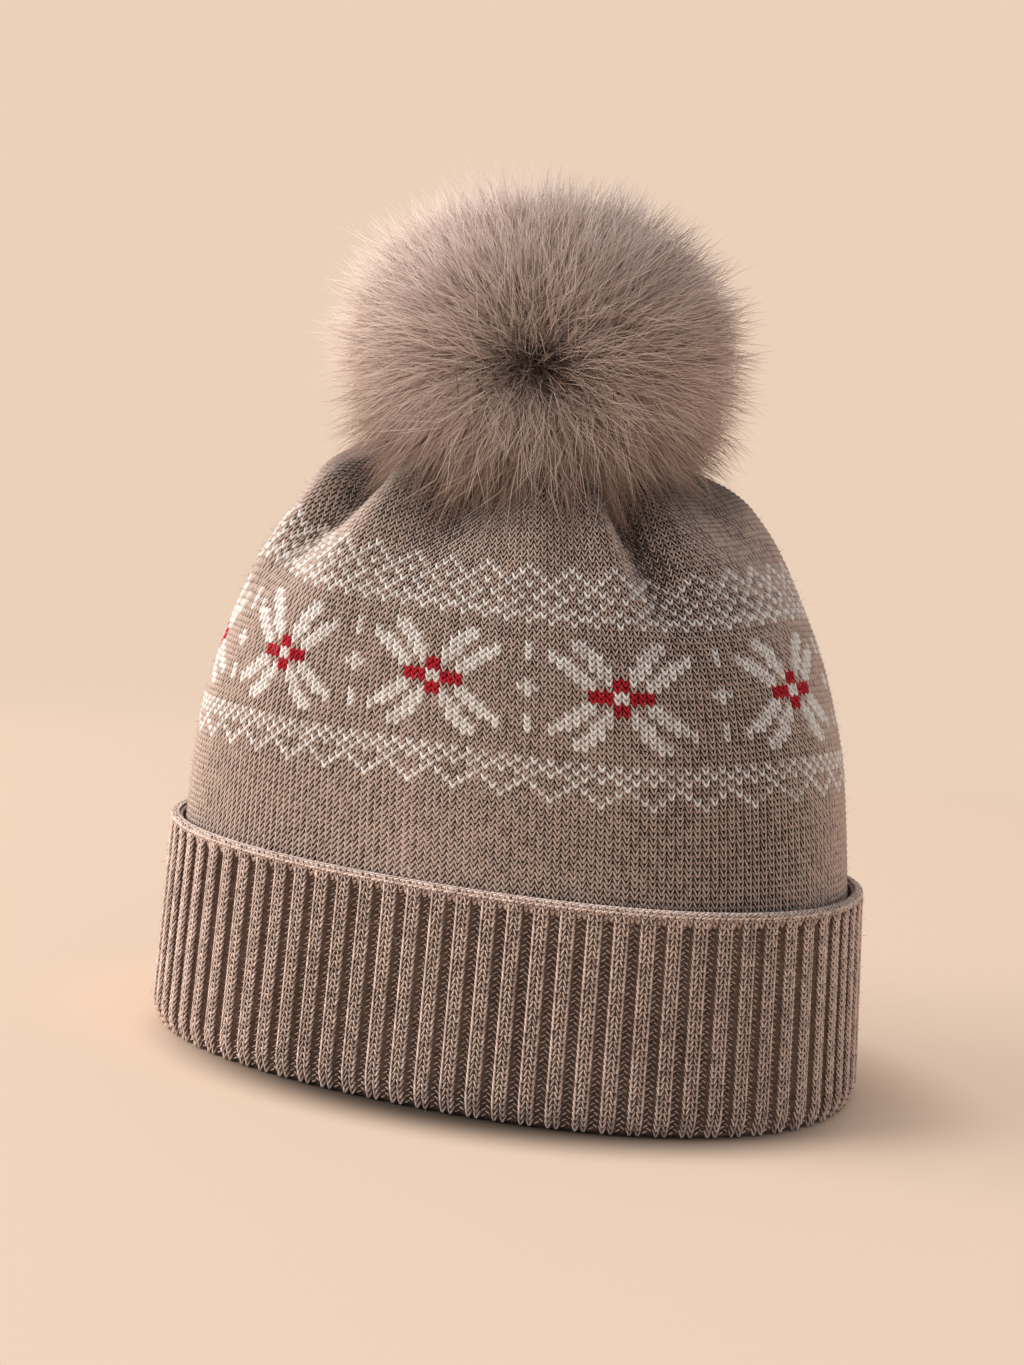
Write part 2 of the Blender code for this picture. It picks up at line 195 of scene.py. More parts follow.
paper_glow = add_node(paper_tree, "ShaderNodeEmission", {"Color": paper_colour_with_shadow})
paper_mixed = add_node(paper_tree, "ShaderNodeMixShader", {
    0: number("MAXIMUM", paper_share, paper_close), 1: paper_shader.outputs["BSDF"],
    2: paper_glow.outputs["Emission"],
})
paper_out = paper_tree.nodes["Material Output"]
paper_tree.links.new(paper_mixed.outputs["Shader"], paper_out.inputs["Surface"])
paper = new_object("paper_floor", paper_points, paper_faces, paper_finish)

window_light = bpy.data.lights.new("window", "AREA")
window_light.shape = "SQUARE"
window_light.size = WINDOW_SIZE
window_light.energy = WINDOW_POWER
window_light.color = screen(*WINDOW_COLOUR)[:3]
window = bpy.data.objects.new("window", window_light)
side, depth, height = WINDOW_PLACE
window_spot = view_right * side + away * depth + np.array([0.0, 0.0, height])
hat_middle = np.array([0.0, 0.0, WINDOW_AIM])
window_back = (window_spot - hat_middle) / np.linalg.norm(window_spot - hat_middle)
window_right = np.cross([0.0, 0.0, 1.0], window_back)
window_right /= np.linalg.norm(window_right)
window_up = np.cross(window_back, window_right)
window.matrix_world = stand_at(window_spot, window_right, window_up, window_back)
bpy.context.scene.collection.objects.link(window)

room = bpy.data.worlds.new("room")
room.use_nodes = True
room.node_tree.nodes["Background"].inputs["Color"].default_value = screen(*FILL_COLOUR)
room.node_tree.nodes["Background"].inputs["Strength"].default_value = FILL_STRENGTH
bpy.context.scene.world = room

# The cuff. A band of two-by-two rib, knitted on from the crown and folded up outside itself, in the
# same melange wool. The fold is what the hat stands on, and the turned edge is the cast-on edge.
CUFF_LENGTH = 0.210
CUFF_WIDTH = 0.155
CUFF_HEIGHT = 0.060
CUFF_TAPER_LENGTH = 0.0048
CUFF_TAPER_WIDTH = 0.0095
CUFF_LEAN_X = -0.0015
CUFF_SQUARENESS = 2.2
RIBS = 80
FIRST_GROOVE = 0.6012
GROOVE_DEPTH = 0.0024
TURNED_WALL = 0.0030
BAND_WALL = 0.0022
FOLD_EASE = 0.0014
FOLD_ROUND = 0.0022
CROWN_OVERLAP = 0.016
YARN_RADIUS = 0.00056
YARN_SINK = 0.00036           # how far the cloth lies under the middle of its yarns
COURSE = 0.00164              # height of one row of stitches
RIB_COURSES = 36
FINE_STEPS = 4096
ARCH_START = 0.0042           # below the cuff's edge, where the grooves begin to run out
ARCH_END = 0.0010
ROLL_HEIGHT = 0.0080          # how far up the fold's rounding reaches
ROLL_INSET = 0.0030
# The cuff's cloth is painted darker than its stitches' wool, as shade where it shows between them.
CLOTH_SHADE_DARK = (84, 66, 57)
CLOTH_SHADE_PALE = (176, 152, 140)
RIB_DARK = (92, 72, 63)
RIB_PALE = (246, 221, 207)
GROOVE_DARK = (116, 92, 81)
GROOVE_PALE = (246, 220, 206)
# The cast-on edge's wool is painted paler than the ribs', as light on the cuff's top edge.
EDGE_DARK = (124, 103, 92)
EDGE_PALE = (248, 226, 213)
MOTTLE_SCALE = 900.0          # patches in the wool to a metre: its tufts, broad drifts and fibres
DRIFT_SCALE = 45.0
FIBRE_SCALE = 3800.0
FIBRE_RELIEF = 0.00018
MOTTLE_SHARE = 1.3            # how strongly each of them shifts the yarn's shade
DRIFT_SHARE = 0.35
TONE_SHARE = 0.55             # the same for chance from stitch to stitch, and for each yarn's painted shading
PAINTED_SHADING_SHARE = 0.85
FUR_SHADE_START = 0.064       # distances from the pompom's middle over which the shade painted under it fades
FUR_SHADE_END = 0.084
FUR_SHADE_LIGHT = 0.34
YARN_SECTION = ((-1, -0.45), (0, 1), (1, -0.45))   # a yarn's three corners, side and height
SHORT_YARN_RINGS = ((-0.82, 0.72), (0.82, 0.72))   # places along a yarn and its girth there
PLUMP_YARN_RINGS = ((-0.5, 0.95), (0.5, 0.95))
# Light and shade painted along each yarn: paler on top, darker at its sides and towards its upper end.
PAINTED_SHADING_BASE = 0.36             # how pale a yarn is painted at mid height, then what height and length add
PAINTED_LIGHT_RISE = 0.95
PAINTED_SHADE_FADE = -0.18
FACE_ROWS = 8                 # rows of the cloth between the fold and the arches
FACE_START = 1.6              # where they begin, in heights of the fold's rounding
BAND_ROWS = 4                 # rows of the cloth down the inner band
BAND_ROWS_TOP = 0.04

cuff_band_top = CUFF_HEIGHT - CROWN_OVERLAP
cuff_gap_inset = TURNED_WALL + FOLD_EASE
cuff_whole = cuff_gap_inset + BAND_WALL

RibPoint = namedtuple("RibPoint", "across cut")
RIB_SECTION = (
    RibPoint(-0.12, 1.00),
    RibPoint(0.12, 1.00),
    RibPoint(0.21, 0.50),
    RibPoint(0.29, 0.10),
    RibPoint(0.50, 0.06),
    RibPoint(0.71, 0.10),
    RibPoint(0.79, 0.50),
)


def oval(angle, half_length, half_width, squareness):
    """Points and outward normals of a rounded oval, as two arrays of x and y."""
    power = 2.0 / squareness
    across = np.cos(angle)
    along = np.sin(angle)
    unit_x = np.sign(across) * np.abs(across) ** power
    unit_y = np.sign(along) * np.abs(along) ** power
    points = np.stack([half_length * unit_x, half_width * unit_y], axis=-1)
    normals = np.stack([
        np.sign(unit_x) * np.abs(unit_x) ** (squareness - 1) / half_length,
        np.sign(unit_y) * np.abs(unit_y) ** (squareness - 1) / half_width,
    ], axis=-1)
    return points, normals / np.linalg.norm(normals, axis=-1, keepdims=True)


def even_angles(shares, half_length, half_width, squareness):
    """The oval's angles at given shares of its length, from +X round to the left."""
    fine = np.linspace(0.0, 2 * math.pi, FINE_STEPS + 1)
    points, _ = oval(fine, half_length, half_width, squareness)
    steps = np.linalg.norm(np.diff(points, axis=0), axis=1)
    travelled = np.concatenate([[0.0], np.cumsum(steps)]) / steps.sum()
    turns = np.floor(shares)
    return np.interp(shares - turns, travelled, fine) + turns * 2 * math.pi


def cuff_half_sizes(height):
    """The cuff's outer half length and half width at a height."""
    share = height / CUFF_HEIGHT
    return (
        (CUFF_LENGTH - CUFF_TAPER_LENGTH * share) / 2,
        (CUFF_WIDTH - CUFF_TAPER_WIDTH * share) / 2,
    )


def cuff_points(shares, insets, height):
    """Points of the cuff at shares of the way round, set in from its outer face."""
    angles = even_angles(shares, *cuff_half_sizes(CUFF_HEIGHT / 2), CUFF_SQUARENESS)
    points, normals = oval(angles, *cuff_half_sizes(height), CUFF_SQUARENESS)
    placed = points - normals * np.reshape(insets, (-1, 1))
    lean = CUFF_LEAN_X * height / CUFF_HEIGHT
    return np.column_stack([placed[:, 0] + lean, placed[:, 1], np.full(len(placed), height)])


def rib_cut(shares):
    """Share of the groove's depth at shares of the way round."""
    across = np.mod((shares - FIRST_GROOVE) * RIBS, 1.0)
    knots = [*[point.across for point in RIB_SECTION], RIB_SECTION[0].across + 1]
    cuts = [*[point.cut for point in RIB_SECTION], RIB_SECTION[0].cut]
    return np.interp(np.where(across > knots[-1], across - 1, across), knots, cuts)


def grid_faces(rows, columns, closed_rows=False):
    """Faces of a grid whose columns go round, and whose rows may too."""
    return [
        (
            row * columns + column,
            row * columns + (column + 1) % columns,
            (row + 1) % rows * columns + (column + 1) % columns,
            (row + 1) % rows * columns + column,
        )
        for row in range(rows if closed_rows else rows - 1)
        for column in range(columns)
    ]


def wool(name, dark, pale, tone_share=TONE_SHARE, painted_shading_share=PAINTED_SHADING_SHARE, pompom_shade_middle=None):
    """Melange yarn: fibres of two shades, carded unevenly, with light and shade painted on each yarn.
    """
    finish, tree, shader = new_finish(name, roughness=0.95, gloss=0.15)
    number, vector, scaled = reckoning(tree)
    place = add_node(tree, "ShaderNodeTexCoord").outputs["Object"]
    mottle = add_node(tree, "ShaderNodeTexNoise", {
        "Vector": place, "Scale": MOTTLE_SCALE, "Detail": 4.0, "Roughness": 0.75,
    })
    drift = add_node(tree, "ShaderNodeTexNoise", {
        "Vector": place, "Scale": DRIFT_SCALE, "Detail": 2.0,
    })
    fibres = add_node(tree, "ShaderNodeTexNoise", {
        "Vector": place, "Scale": FIBRE_SCALE, "Detail": 2.0, "Distortion": 1.5,
    })
    # The tone holds chance from stitch to stitch, and on the crown the painted valley shade.
    tone = add_node(tree, "ShaderNodeAttribute", attribute_name="tone")
    crest = add_node(tree, "ShaderNodeAttribute", attribute_name="crest")
    total = (MOTTLE_SHARE + DRIFT_SHARE + tone_share + painted_shading_share) / -2 + 0.5
    for part, share in (
        (mottle, MOTTLE_SHARE), (drift, DRIFT_SHARE), (tone, tone_share), (crest, painted_shading_share),
    ):
        total = number("MULTIPLY_ADD", part.outputs["Fac"], share, total)
    held = add_node(tree, "ShaderNodeClamp", {"Value": total})
    shade = add_node(tree, "ShaderNodeMix", {
        "Factor": held.outputs["Result"], 6: screen(*dark), 7: screen(*pale),
    }, data_type="RGBA").outputs[2]
    # Shade is painted into the wool close under the pompom.
    if pompom_shade_middle is not None:
        from_fur = vector("DISTANCE", place, tuple(pompom_shade_middle))
        painted_pompom_shade = fade(tree, from_fur, FUR_SHADE_START, FUR_SHADE_END, low=FUR_SHADE_LIGHT)
        shade = scaled(shade, painted_pompom_shade)
    relief = add_node(tree, "ShaderNodeBump", {
        "Height": fibres.outputs["Fac"], "Strength": 0.5, "Distance": FIBRE_RELIEF,
    })
    tree.links.new(shade, shader.inputs["Base Color"])
    tree.links.new(relief.outputs["Normal"], shader.inputs["Normal"])
    shader.inputs["Sheen Weight"].default_value = 0.25
    shader.inputs["Sheen Roughness"].default_value = 0.5
    shader.inputs["Sheen Tint"].default_value = screen(*pale)
    return finish


def yarn_length(name, rings, tips):
    """One short length of yarn, from -1 to 1 on each axis, with three sides and closed ends."""
    shape = bmesh.new()
    loops = [
        [shape.verts.new((x * girth, y, z * girth)) for x, z in YARN_SECTION]
        for y, girth in rings
    ]
    for low, high in zip(loops, loops[1:]):
        for k in range(3):
            shape.faces.new((low[k], low[(k + 1) % 3], high[(k + 1) % 3], high[k]))
    for loop, end in ((loops[0], -1.0), (loops[-1], 1.0)):
        if tips:
            tip = shape.verts.new((0, end, 0))
            for k in range(3):
                shape.faces.new((loop[k], loop[(k + 1) % 3], tip))
        else:
            shape.faces.new(loop)
    bmesh.ops.recalc_face_normals(shape, faces=shape.faces[:])
    mesh = bpy.data.meshes.new(name)
    shape.to_mesh(mesh)
    shape.free()
    return bpy.data.objects.new(name, mesh)


def new_tree(name, inputs, result):
    """A Geometry Nodes tree with named inputs and a result, and what its input node gives."""
    tree = bpy.data.node_groups.new(name, "GeometryNodeTree")
    for key, kind in inputs:
        tree.interface.new_socket(key, in_out="INPUT", socket_type="NodeSocket" + kind)
    tree.interface.new_socket(result, in_out="OUTPUT", socket_type="NodeSocketGeometry")
    return tree, add_node(tree, "NodeGroupInput").outputs


def layers(tree):
    """Short ways to read a layer inside a tree, and to keep one on a geometry's points."""
    def named(name, kind="FLOAT_VECTOR"):
        return add_node(tree, "GeometryNodeInputNamedAttribute", {"Name": name},
                        data_type=kind).outputs["Attribute"]

    def stored(geometry, name, value, kind="FLOAT_VECTOR"):
        return add_node(tree, "GeometryNodeStoreNamedAttribute", {
            "Geometry": geometry, "Name": name, "Value": value,
        }, data_type=kind, domain="POINT").outputs["Geometry"]

    return named, stored


def planted(tree, points, thing):
    """Put a thing on every point inside a tree, as real geometry."""
    form = add_node(tree, "GeometryNodeObjectInfo", {"Object": thing})
    set_out = add_node(tree, "GeometryNodeInstanceOnPoints", {
        "Points": points, "Instance": form.outputs["Geometry"],
    })
    return add_node(tree, "GeometryNodeRealizeInstances", {
        "Geometry": set_out.outputs["Instances"],
    }).outputs["Geometry"]


def end_tree(tree, geometry, spot, finish, result):
    """End a tree: move the points to their spots, and make the surface smooth and finished."""
    moved = add_node(tree, "GeometryNodeSetPosition", {"Geometry": geometry, "Position": spot})
    smooth = add_node(tree, "GeometryNodeSetShadeSmooth", {"Geometry": moved.outputs["Geometry"]})
    finished = add_node(tree, "GeometryNodeSetMaterial", {
        "Geometry": smooth.outputs["Geometry"], "Material": finish,
    })
    add_node(tree, "NodeGroupOutput", {result: finished.outputs["Geometry"]})
    return tree


def yarn_tree():
    """Lays a length of yarn at every site, along the site's own side, run and lift."""
    tree, given = new_tree("lay_yarn", (
        ("Sites", "Geometry"), ("Yarn", "Object"), ("Finish", "Material"), ("Seed", "Int"),
    ), "Cloth")
    number, vector, scaled = reckoning(tree)
    named, stored = layers(tree)
    chance = add_node(tree, "FunctionNodeRandomValue", {"Seed": given["Seed"]}, data_type="FLOAT")
    # Each stitch's chance tone, with the crown's painted valley shade added.
    tone = number("ADD", chance.outputs[1], named("hollow", "FLOAT"))
    real = planted(tree, stored(given["Sites"], "tone", tone, "FLOAT"), given["Yarn"])
    here = add_node(tree, "GeometryNodeInputPosition").outputs["Position"]
    form = add_node(tree, "ShaderNodeSeparateXYZ", {
        "Vector": vector("SUBTRACT", here, named("site")),
    }).outputs
    # Painted light and shade: paler high on the yarn, darker towards its upper end.
    painted_light_by_height = number("MULTIPLY_ADD", form["Z"], PAINTED_LIGHT_RISE, PAINTED_SHADING_BASE)
    crest = number("MULTIPLY_ADD", form["Y"], PAINTED_SHADE_FADE, painted_light_by_height)
    spot = named("site")
    for name, axis in (("side", "X"), ("run", "Y"), ("lift", "Z")):
        spot = vector("ADD", spot, scaled(named(name), form[axis]))
    return end_tree(tree, stored(real, "crest", crest, "FLOAT"), spot, given["Finish"], "Cloth")


def grown(name, base, tree, inputs, kept):
    """Run a tree on a base object and keep its result as a plain mesh at the origin."""
    modifier = base.modifiers.new(name, "NODES")
    modifier.node_group = tree
    sockets = {
        item.name: item.identifier
        for item in tree.interface.items_tree if item.in_out == "INPUT"
    }
    for key, value in inputs.items():
        modifier[sockets[key]] = value
    evaluated = base.evaluated_get(bpy.context.evaluated_depsgraph_get())
    mesh = bpy.data.meshes.new_from_object(evaluated)
    mesh.name = name
    mesh.materials.clear()
    mesh.materials.append(inputs["Finish"])
    for attribute in [layer.name for layer in mesh.attributes if not layer.is_required]:
        if attribute not in kept:
            mesh.attributes.remove(mesh.attributes[attribute])
    base.modifiers.remove(modifier)
    thing = bpy.data.objects.new(name, mesh)
    bpy.context.scene.collection.objects.link(thing)
    return thing


def add_layer(thing, name, values):
    """Keep an array on a mesh's points, as vectors or single numbers."""
    kind, key = ("FLOAT_VECTOR", "vector") if values.ndim == 2 else ("FLOAT", "value")
    layer = thing.data.attributes.new(name, kind, "POINT")
    layer.data.foreach_set(key, np.ascontiguousarray(values, dtype=np.float32).ravel())


def laid_yarn(name, sites, yarn, finish, seed):
    """A piece made of lengths of yarn. Sites hold arrays of site, side, run and lift."""
    base = new_object("sites", sites["site"], [])
    for key, values in sites.items():
        add_layer(base, key, values)
    thing = grown(name, base, lay_yarn, {"Yarn": yarn, "Finish": finish, "Seed": seed},
                  ("tone", "crest"))
    bpy.data.objects.remove(base, do_unlink=True)
    return thing


def unit(vectors):
    """Vectors brought to length 1."""
    return vectors / np.linalg.norm(vectors, axis=-1, keepdims=True)


def stack_sites(parts):
    """Join several sets of sites into one."""
    return {key: np.concatenate([part[key].reshape(-1, 3) for part in parts]) for key in parts[0]}


lay_yarn = yarn_tree()
short_yarn = yarn_length("short_yarn", SHORT_YARN_RINGS, tips=False)
plump_yarn = yarn_length("plump_yarn", PLUMP_YARN_RINGS, tips=True)
cloth_wool = wool("cloth_wool", CLOTH_SHADE_DARK, CLOTH_SHADE_PALE, painted_shading_share=0.0)
rib_wool = wool("rib_wool", RIB_DARK, RIB_PALE)
groove_wool = wool("groove_wool", GROOVE_DARK, GROOVE_PALE)
edge_wool = wool("edge_wool", EDGE_DARK, EDGE_PALE)

# The cuff's cloth, under its stitches: one closed skin from the fold up the ribs, over the cast-on
# edge, down between the two layers and up the band, then down the inside to the fold again.
# Its wool is painted darker than the stitches', as shade where it shows between and under them.
rib_shares = np.concatenate([
    FIRST_GROOVE + (rib + np.array([point.across for point in RIB_SECTION])) / RIBS
    for rib in range(RIBS)
])
CuffRow = namedtuple("CuffRow", "inset height relief")
CUFF_ROWS = (
    CuffRow(1.45 * ROLL_INSET, 0.0, 0.00),
    CuffRow(1.15 * ROLL_INSET, 0.02 * ROLL_HEIGHT, 0.08),
    CuffRow(0.80 * ROLL_INSET, 0.14 * ROLL_HEIGHT, 0.25),
    CuffRow(0.45 * ROLL_INSET, 0.40 * ROLL_HEIGHT, 0.60),
    CuffRow(YARN_SINK, ROLL_HEIGHT, 1.00),
    *(CuffRow(YARN_SINK, height, 1.00)
      for height in np.linspace(FACE_START * ROLL_HEIGHT, CUFF_HEIGHT - ARCH_START, FACE_ROWS)),
    CuffRow(YARN_SINK, CUFF_HEIGHT - (ARCH_START + ARCH_END) / 2, 0.50),
    CuffRow(YARN_SINK, CUFF_HEIGHT - ARCH_END, 0.10),
    CuffRow(0.20 * FOLD_ROUND, CUFF_HEIGHT - 0.30 * FOLD_ROUND, 0.00),
    CuffRow(0.50 * FOLD_ROUND, CUFF_HEIGHT - 0.08 * FOLD_ROUND, 0.00),
    CuffRow(0.80 * FOLD_ROUND, CUFF_HEIGHT - 0.08 * FOLD_ROUND, 0.00),
    CuffRow(1.15 * FOLD_ROUND, CUFF_HEIGHT - 0.40 * FOLD_ROUND, 0.00),
    CuffRow(TURNED_WALL, CUFF_HEIGHT - 1.2 * FOLD_ROUND, 0.00),
    CuffRow(TURNED_WALL, cuff_band_top, 0.00),
    CuffRow(TURNED_WALL, TURNED_WALL + FOLD_EASE, 0.00),
    CuffRow(TURNED_WALL + FOLD_EASE / 2, TURNED_WALL, 0.00),
    CuffRow(cuff_gap_inset, TURNED_WALL + FOLD_EASE, 0.00),
    CuffRow(cuff_gap_inset, cuff_band_top, 0.00),
    CuffRow(cuff_whole, cuff_band_top, -0.20),
    *(CuffRow(cuff_whole, height, -0.35)
      for height in np.linspace(BAND_ROWS_TOP, 2 * FOLD_ROUND, BAND_ROWS)),
    CuffRow(cuff_whole - 0.10 * FOLD_ROUND, 0.9 * FOLD_ROUND, -0.30),
    CuffRow(cuff_whole - 0.35 * FOLD_ROUND, 0.3 * FOLD_ROUND, -0.10),
    CuffRow(cuff_whole - 0.80 * FOLD_ROUND, 0.0, 0.00),
)
cuff_grid = [
    cuff_points(rib_shares, row.inset + rib_cut(rib_shares) * GROOVE_DEPTH * row.relief, row.height)
    for row in CUFF_ROWS
]
cuff_cloth = new_object(
    "cuff_cloth", np.concatenate(cuff_grid), grid_faces(len(CUFF_ROWS), len(rib_shares), True),
    cloth_wool,
)
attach(cuff_cloth, "root")
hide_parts("ribbed_cuff")

# The cuff's stitches: on each rib two columns of V stitches, whose four legs turn round the rib, and
# in each groove the backs of stitches, which lie across it like small waves.
RibLeg = namedtuple("RibLeg", "across slant")
RIB_LEGS = (
    RibLeg(0.275, -1),
    RibLeg(0.420, 1),
    RibLeg(0.580, -1),
    RibLeg(0.725, 1),
)
LEG_SLANT = 0.40              # how far a leg leans, as a share of its height
LEG_REACH = 0.80              # half a leg's height in courses
FOLD_RELIEF = 0.1             # share of the grooves' depth that is left at the fold
EDGE_TUCK = 0.35              # how far the face turns in at the cast-on edge, in fold roundings
EDGE_TUCK_HEIGHT = 1.3        # from how far below the edge
NEAR_SHARE = 0.02 / RIBS      # short ways to each side and up, between which the face's slope is read
NEAR_HEIGHT = 0.001


def cuff_yarns(across, heights, half_side, half_run, slant, sink):
    """Sites for yarns on the cuff's face, at one place across every rib."""
    shares = FIRST_GROOVE + (np.arange(RIBS) + across) / RIBS
    parts = []
    for height in heights:
        rise = min(height / ROLL_HEIGHT, 1.0)
        top = min((CUFF_HEIGHT - height) / (EDGE_TUCK_HEIGHT * FOLD_ROUND), 1.0)
        tuck = ROLL_INSET * (1 - rise) ** 2 + EDGE_TUCK * FOLD_ROUND * (1 - top) ** 2
        run_out = (CUFF_HEIGHT - height - ARCH_END) / (ARCH_START - ARCH_END)
        kept = FOLD_RELIEF + (1 - FOLD_RELIEF) * rise
        relief = GROOVE_DEPTH * min(kept, max(run_out, 0.0), 1.0)

        def face(at, z):
            return cuff_points(at, tuck + sink + rib_cut(at) * relief, z)

        side = unit(face(shares + NEAR_SHARE, height) - face(shares - NEAR_SHARE, height))
        up = unit(face(shares, height + NEAR_HEIGHT) - face(shares, height - NEAR_HEIGHT))
        lift = unit(np.cross(side, up))
        run = unit(up + side * slant)
        parts.append({
            "site": face(shares, height),
            "side": np.cross(run, lift) * half_side,
            "run": run * half_run,
            "lift": lift * YARN_RADIUS,
        })
    return stack_sites(parts)


LOWEST_RIB_COURSE = 0.0014
ARCH_COURSES = 2              # courses at the top that close over the grooves
ARCH_LEGS = (
    RibLeg(-0.155, -1),
    RibLeg(-0.050, 1),
    RibLeg(0.050, -1),
    RibLeg(0.155, 1),
)
GrooveYarn = namedtuple("GrooveYarn", "across lag slant")
GROOVE_YARNS = (
    GrooveYarn(-0.080, 0.0, 1.6),
    GrooveYarn(0.080, 0.5, -1.6),
)
GROOVE_YARN_SINK = -0.0001
RIB_LEG_HALF_SIDE = 0.00050
GROOVE_YARN_HALF_SIDE = 0.00044
GROOVE_YARN_HALF_RUN = 0.00080
EDGE_YARN_HALF_SIDE = 0.00060
EDGE_YARN_HALF_RUN = 0.00120
EDGE_YARNS = 4 * RIBS
EDGE_YARN_RISE = 0.7          # how far the edge's yarns face up, with outward in the table below
EDGE_YARN_SLANT = 0.35
EDGE_YARN_STEP = 0.1          # share of a yarn's pitch over which its direction is read
EdgeRing = namedtuple("EdgeRing", "inset drop lag outward")
EDGE_RINGS = (
    EdgeRing(0.00020, 0.0011, 0.5, 0.8),
    EdgeRing(0.00080, 0.0003, 0.0, 0.3),
    EdgeRing(0.00170, 0.0002, 0.5, -0.1),
    EdgeRing(0.00270, 0.0010, 0.0, -0.8),
)
rib_heights = LOWEST_RIB_COURSE + COURSE * np.arange(RIB_COURSES)
rib_sites = stack_sites([
    cuff_yarns(leg.across, rib_heights, RIB_LEG_HALF_SIDE, COURSE * LEG_REACH,
               leg.slant * LEG_SLANT, 0.0)
    for leg in RIB_LEGS
])
arch_sites = stack_sites([
    cuff_yarns(leg.across, rib_heights[-ARCH_COURSES:], RIB_LEG_HALF_SIDE, COURSE * LEG_REACH,
               leg.slant * LEG_SLANT, 0.0)
    for leg in ARCH_LEGS
])
groove_sites = stack_sites([
    cuff_yarns(wave.across, rib_heights + COURSE * wave.lag, GROOVE_YARN_HALF_SIDE,
               GROOVE_YARN_HALF_RUN, wave.slant, GROOVE_YARN_SINK)
    for wave in GROOVE_YARNS
])
edge_sites = []
for ring in EDGE_RINGS:
    shares = FIRST_GROOVE + (np.arange(EDGE_YARNS) + ring.lag) / EDGE_YARNS
    spots = cuff_points(shares, ring.inset, CUFF_HEIGHT - ring.drop)
    next_shares = shares + EDGE_YARN_STEP / EDGE_YARNS
    ahead = unit(cuff_points(next_shares, ring.inset, CUFF_HEIGHT - ring.drop) - spots)
    outward = np.cross(ahead, [0.0, 0.0, 1.0]) * ring.outward
    lift = unit(outward + np.array([0.0, 0.0, EDGE_YARN_RISE]))
    run = unit(ahead + EDGE_YARN_SLANT * np.cross(lift, ahead))
    edge_sites.append({
        "site": spots, "side": np.cross(run, lift) * EDGE_YARN_HALF_SIDE,
        "run": run * EDGE_YARN_HALF_RUN, "lift": lift * YARN_RADIUS,
    })
for name, sites, finish, seed in (
    ("cuff_rib_stitches", stack_sites([rib_sites, arch_sites]), rib_wool, 3),
    ("cuff_groove_stitches", groove_sites, groove_wool, 4),
    ("cuff_edge_stitches", stack_sites(edge_sites), edge_wool, 2),
):
    stitches = laid_yarn(name, sites, short_yarn, finish, seed)
    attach(stitches, "root")
    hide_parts("ribbed_cuff")

# The crown. One tube of stocking stitch in the same wool, with eight-petal stars in white and red
# between two white borders, drawn together with a thread under the pompom so that its top gathers.
CROWN_WALL = 0.0022
CROWN_RISE = 0.115
CROWN_LEAN_X = -0.0039
CROWN_LEAN_Y = -0.002
GATHER_RELIEF = 0.0056
GATHER_START = 0.985
GATHER_FULL = 0.900
EYE_RADIUS = 0.0045
FIT_GAP = 0.0003
Section = namedtuple("Section", "rise length width lean squareness")
CROWN_SECTIONS = (
    Section(0.000, 1.000, 1.000, 0.00, 2.20),
    Section(0.150, 0.990, 0.988, 0.15, 2.14),
    Section(0.360, 0.961, 1.004, 0.32, 2.08),
    Section(0.550, 0.889, 1.013, 0.34, 2.04),
    Section(0.720, 0.794, 0.944, 0.55, 2.02),
    Section(0.860, 0.672, 0.825, 0.70, 2.00),
    Section(0.948, 0.546, 0.685, 0.85, 2.00),
    Section(0.990, 0.384, 0.503, 0.95, 2.00),
    Section(1.000, 0.243, 0.330, 1.00, 2.00),
    Section(0.985, 0.116, 0.165, 1.00, 2.00),
)
Gather = namedtuple("Gather", "bearing slant relief spread reach")
GATHERS = (
    Gather(-120, -20, -1.15, 8.5, 0.60),
    Gather(-104, -14, 0.75, 8.5, 0.50),
    Gather(-88, -7, -0.70, 9.0, 0.68),
    Gather(-66, -5, 0.55, 7.0, 0.66),
    Gather(-53, 4, 0.70, 5.5, 0.60),
    Gather(-45, 6, -1.40, 7.0, 0.60),
    Gather(-12, 6, -0.35, 9.0, 0.72),
    Gather(9, 5, 0.35, 9.0, 0.70),
    Gather(30, 6, -0.70, 8.0, 0.66),
    Gather(52, 3, 0.50, 9.0, 0.62),
    Gather(73, 2, -0.90, 8.0, 0.60),
    Gather(95, 0, 0.50, 9.0, 0.62),
    Gather(117, -3, -0.80, 8.0, 0.64),
    Gather(139, -4, 0.45, 9.0, 0.66),
    Gather(160, -6, -0.90, 8.0, 0.62),
    Gather(-176, -8, 0.50, 9.0, 0.64),
    Gather(-152, -12, -0.60, 8.0, 0.66),
    Gather(-134, -16, 0.50, 7.0, 0.60),
)
WALES = 240
STAR_REPEAT = 24              # wales from star to star
FIRST_STAR = 0.059            # share of the way round of one star's middle
STAR_SHIFT = 0.012            # the wales are a little wider apart on the way to here
STAR_SHIFT_MIDDLE = 0.972
STAR_SHIFT_SPREAD = 0.075
STAR_HEIGHT = 0.1146          # the stars' middle
LOWEST_COURSE = -36
HIGHEST_PLACE = 6.7           # the last row of stitches, in sections
WAVE_HEIGHT = 0.0005
WAVES_ROUND = 3               # slow waves in each round of knitting, and quick ones among them
QUICK_WAVES_ROUND = 7
QUICK_WAVE_SHARE = 0.6
WAVE_START = 0.7
WAVE_DRIFT = 0.05             # how far the quick waves move on from course to course
Ride = namedtuple("Ride", "rise bearing spread first fade_in last fade_out")
# Where the courses ride up, as the hat stands: along the ring of stars, and on the left shoulder.
RIDES = (
    Ride(0.0036, -8.0, 26.0, -34, 14, 44, 20),
    Ride(0.0080, -142.0, 22.0, 2, 12, 46, 20),
)
FINE_PLACES = 361
PROFILE_SIDES = 16
SLOPE_STEP = 0.01             # in places and radians, for the form's slope

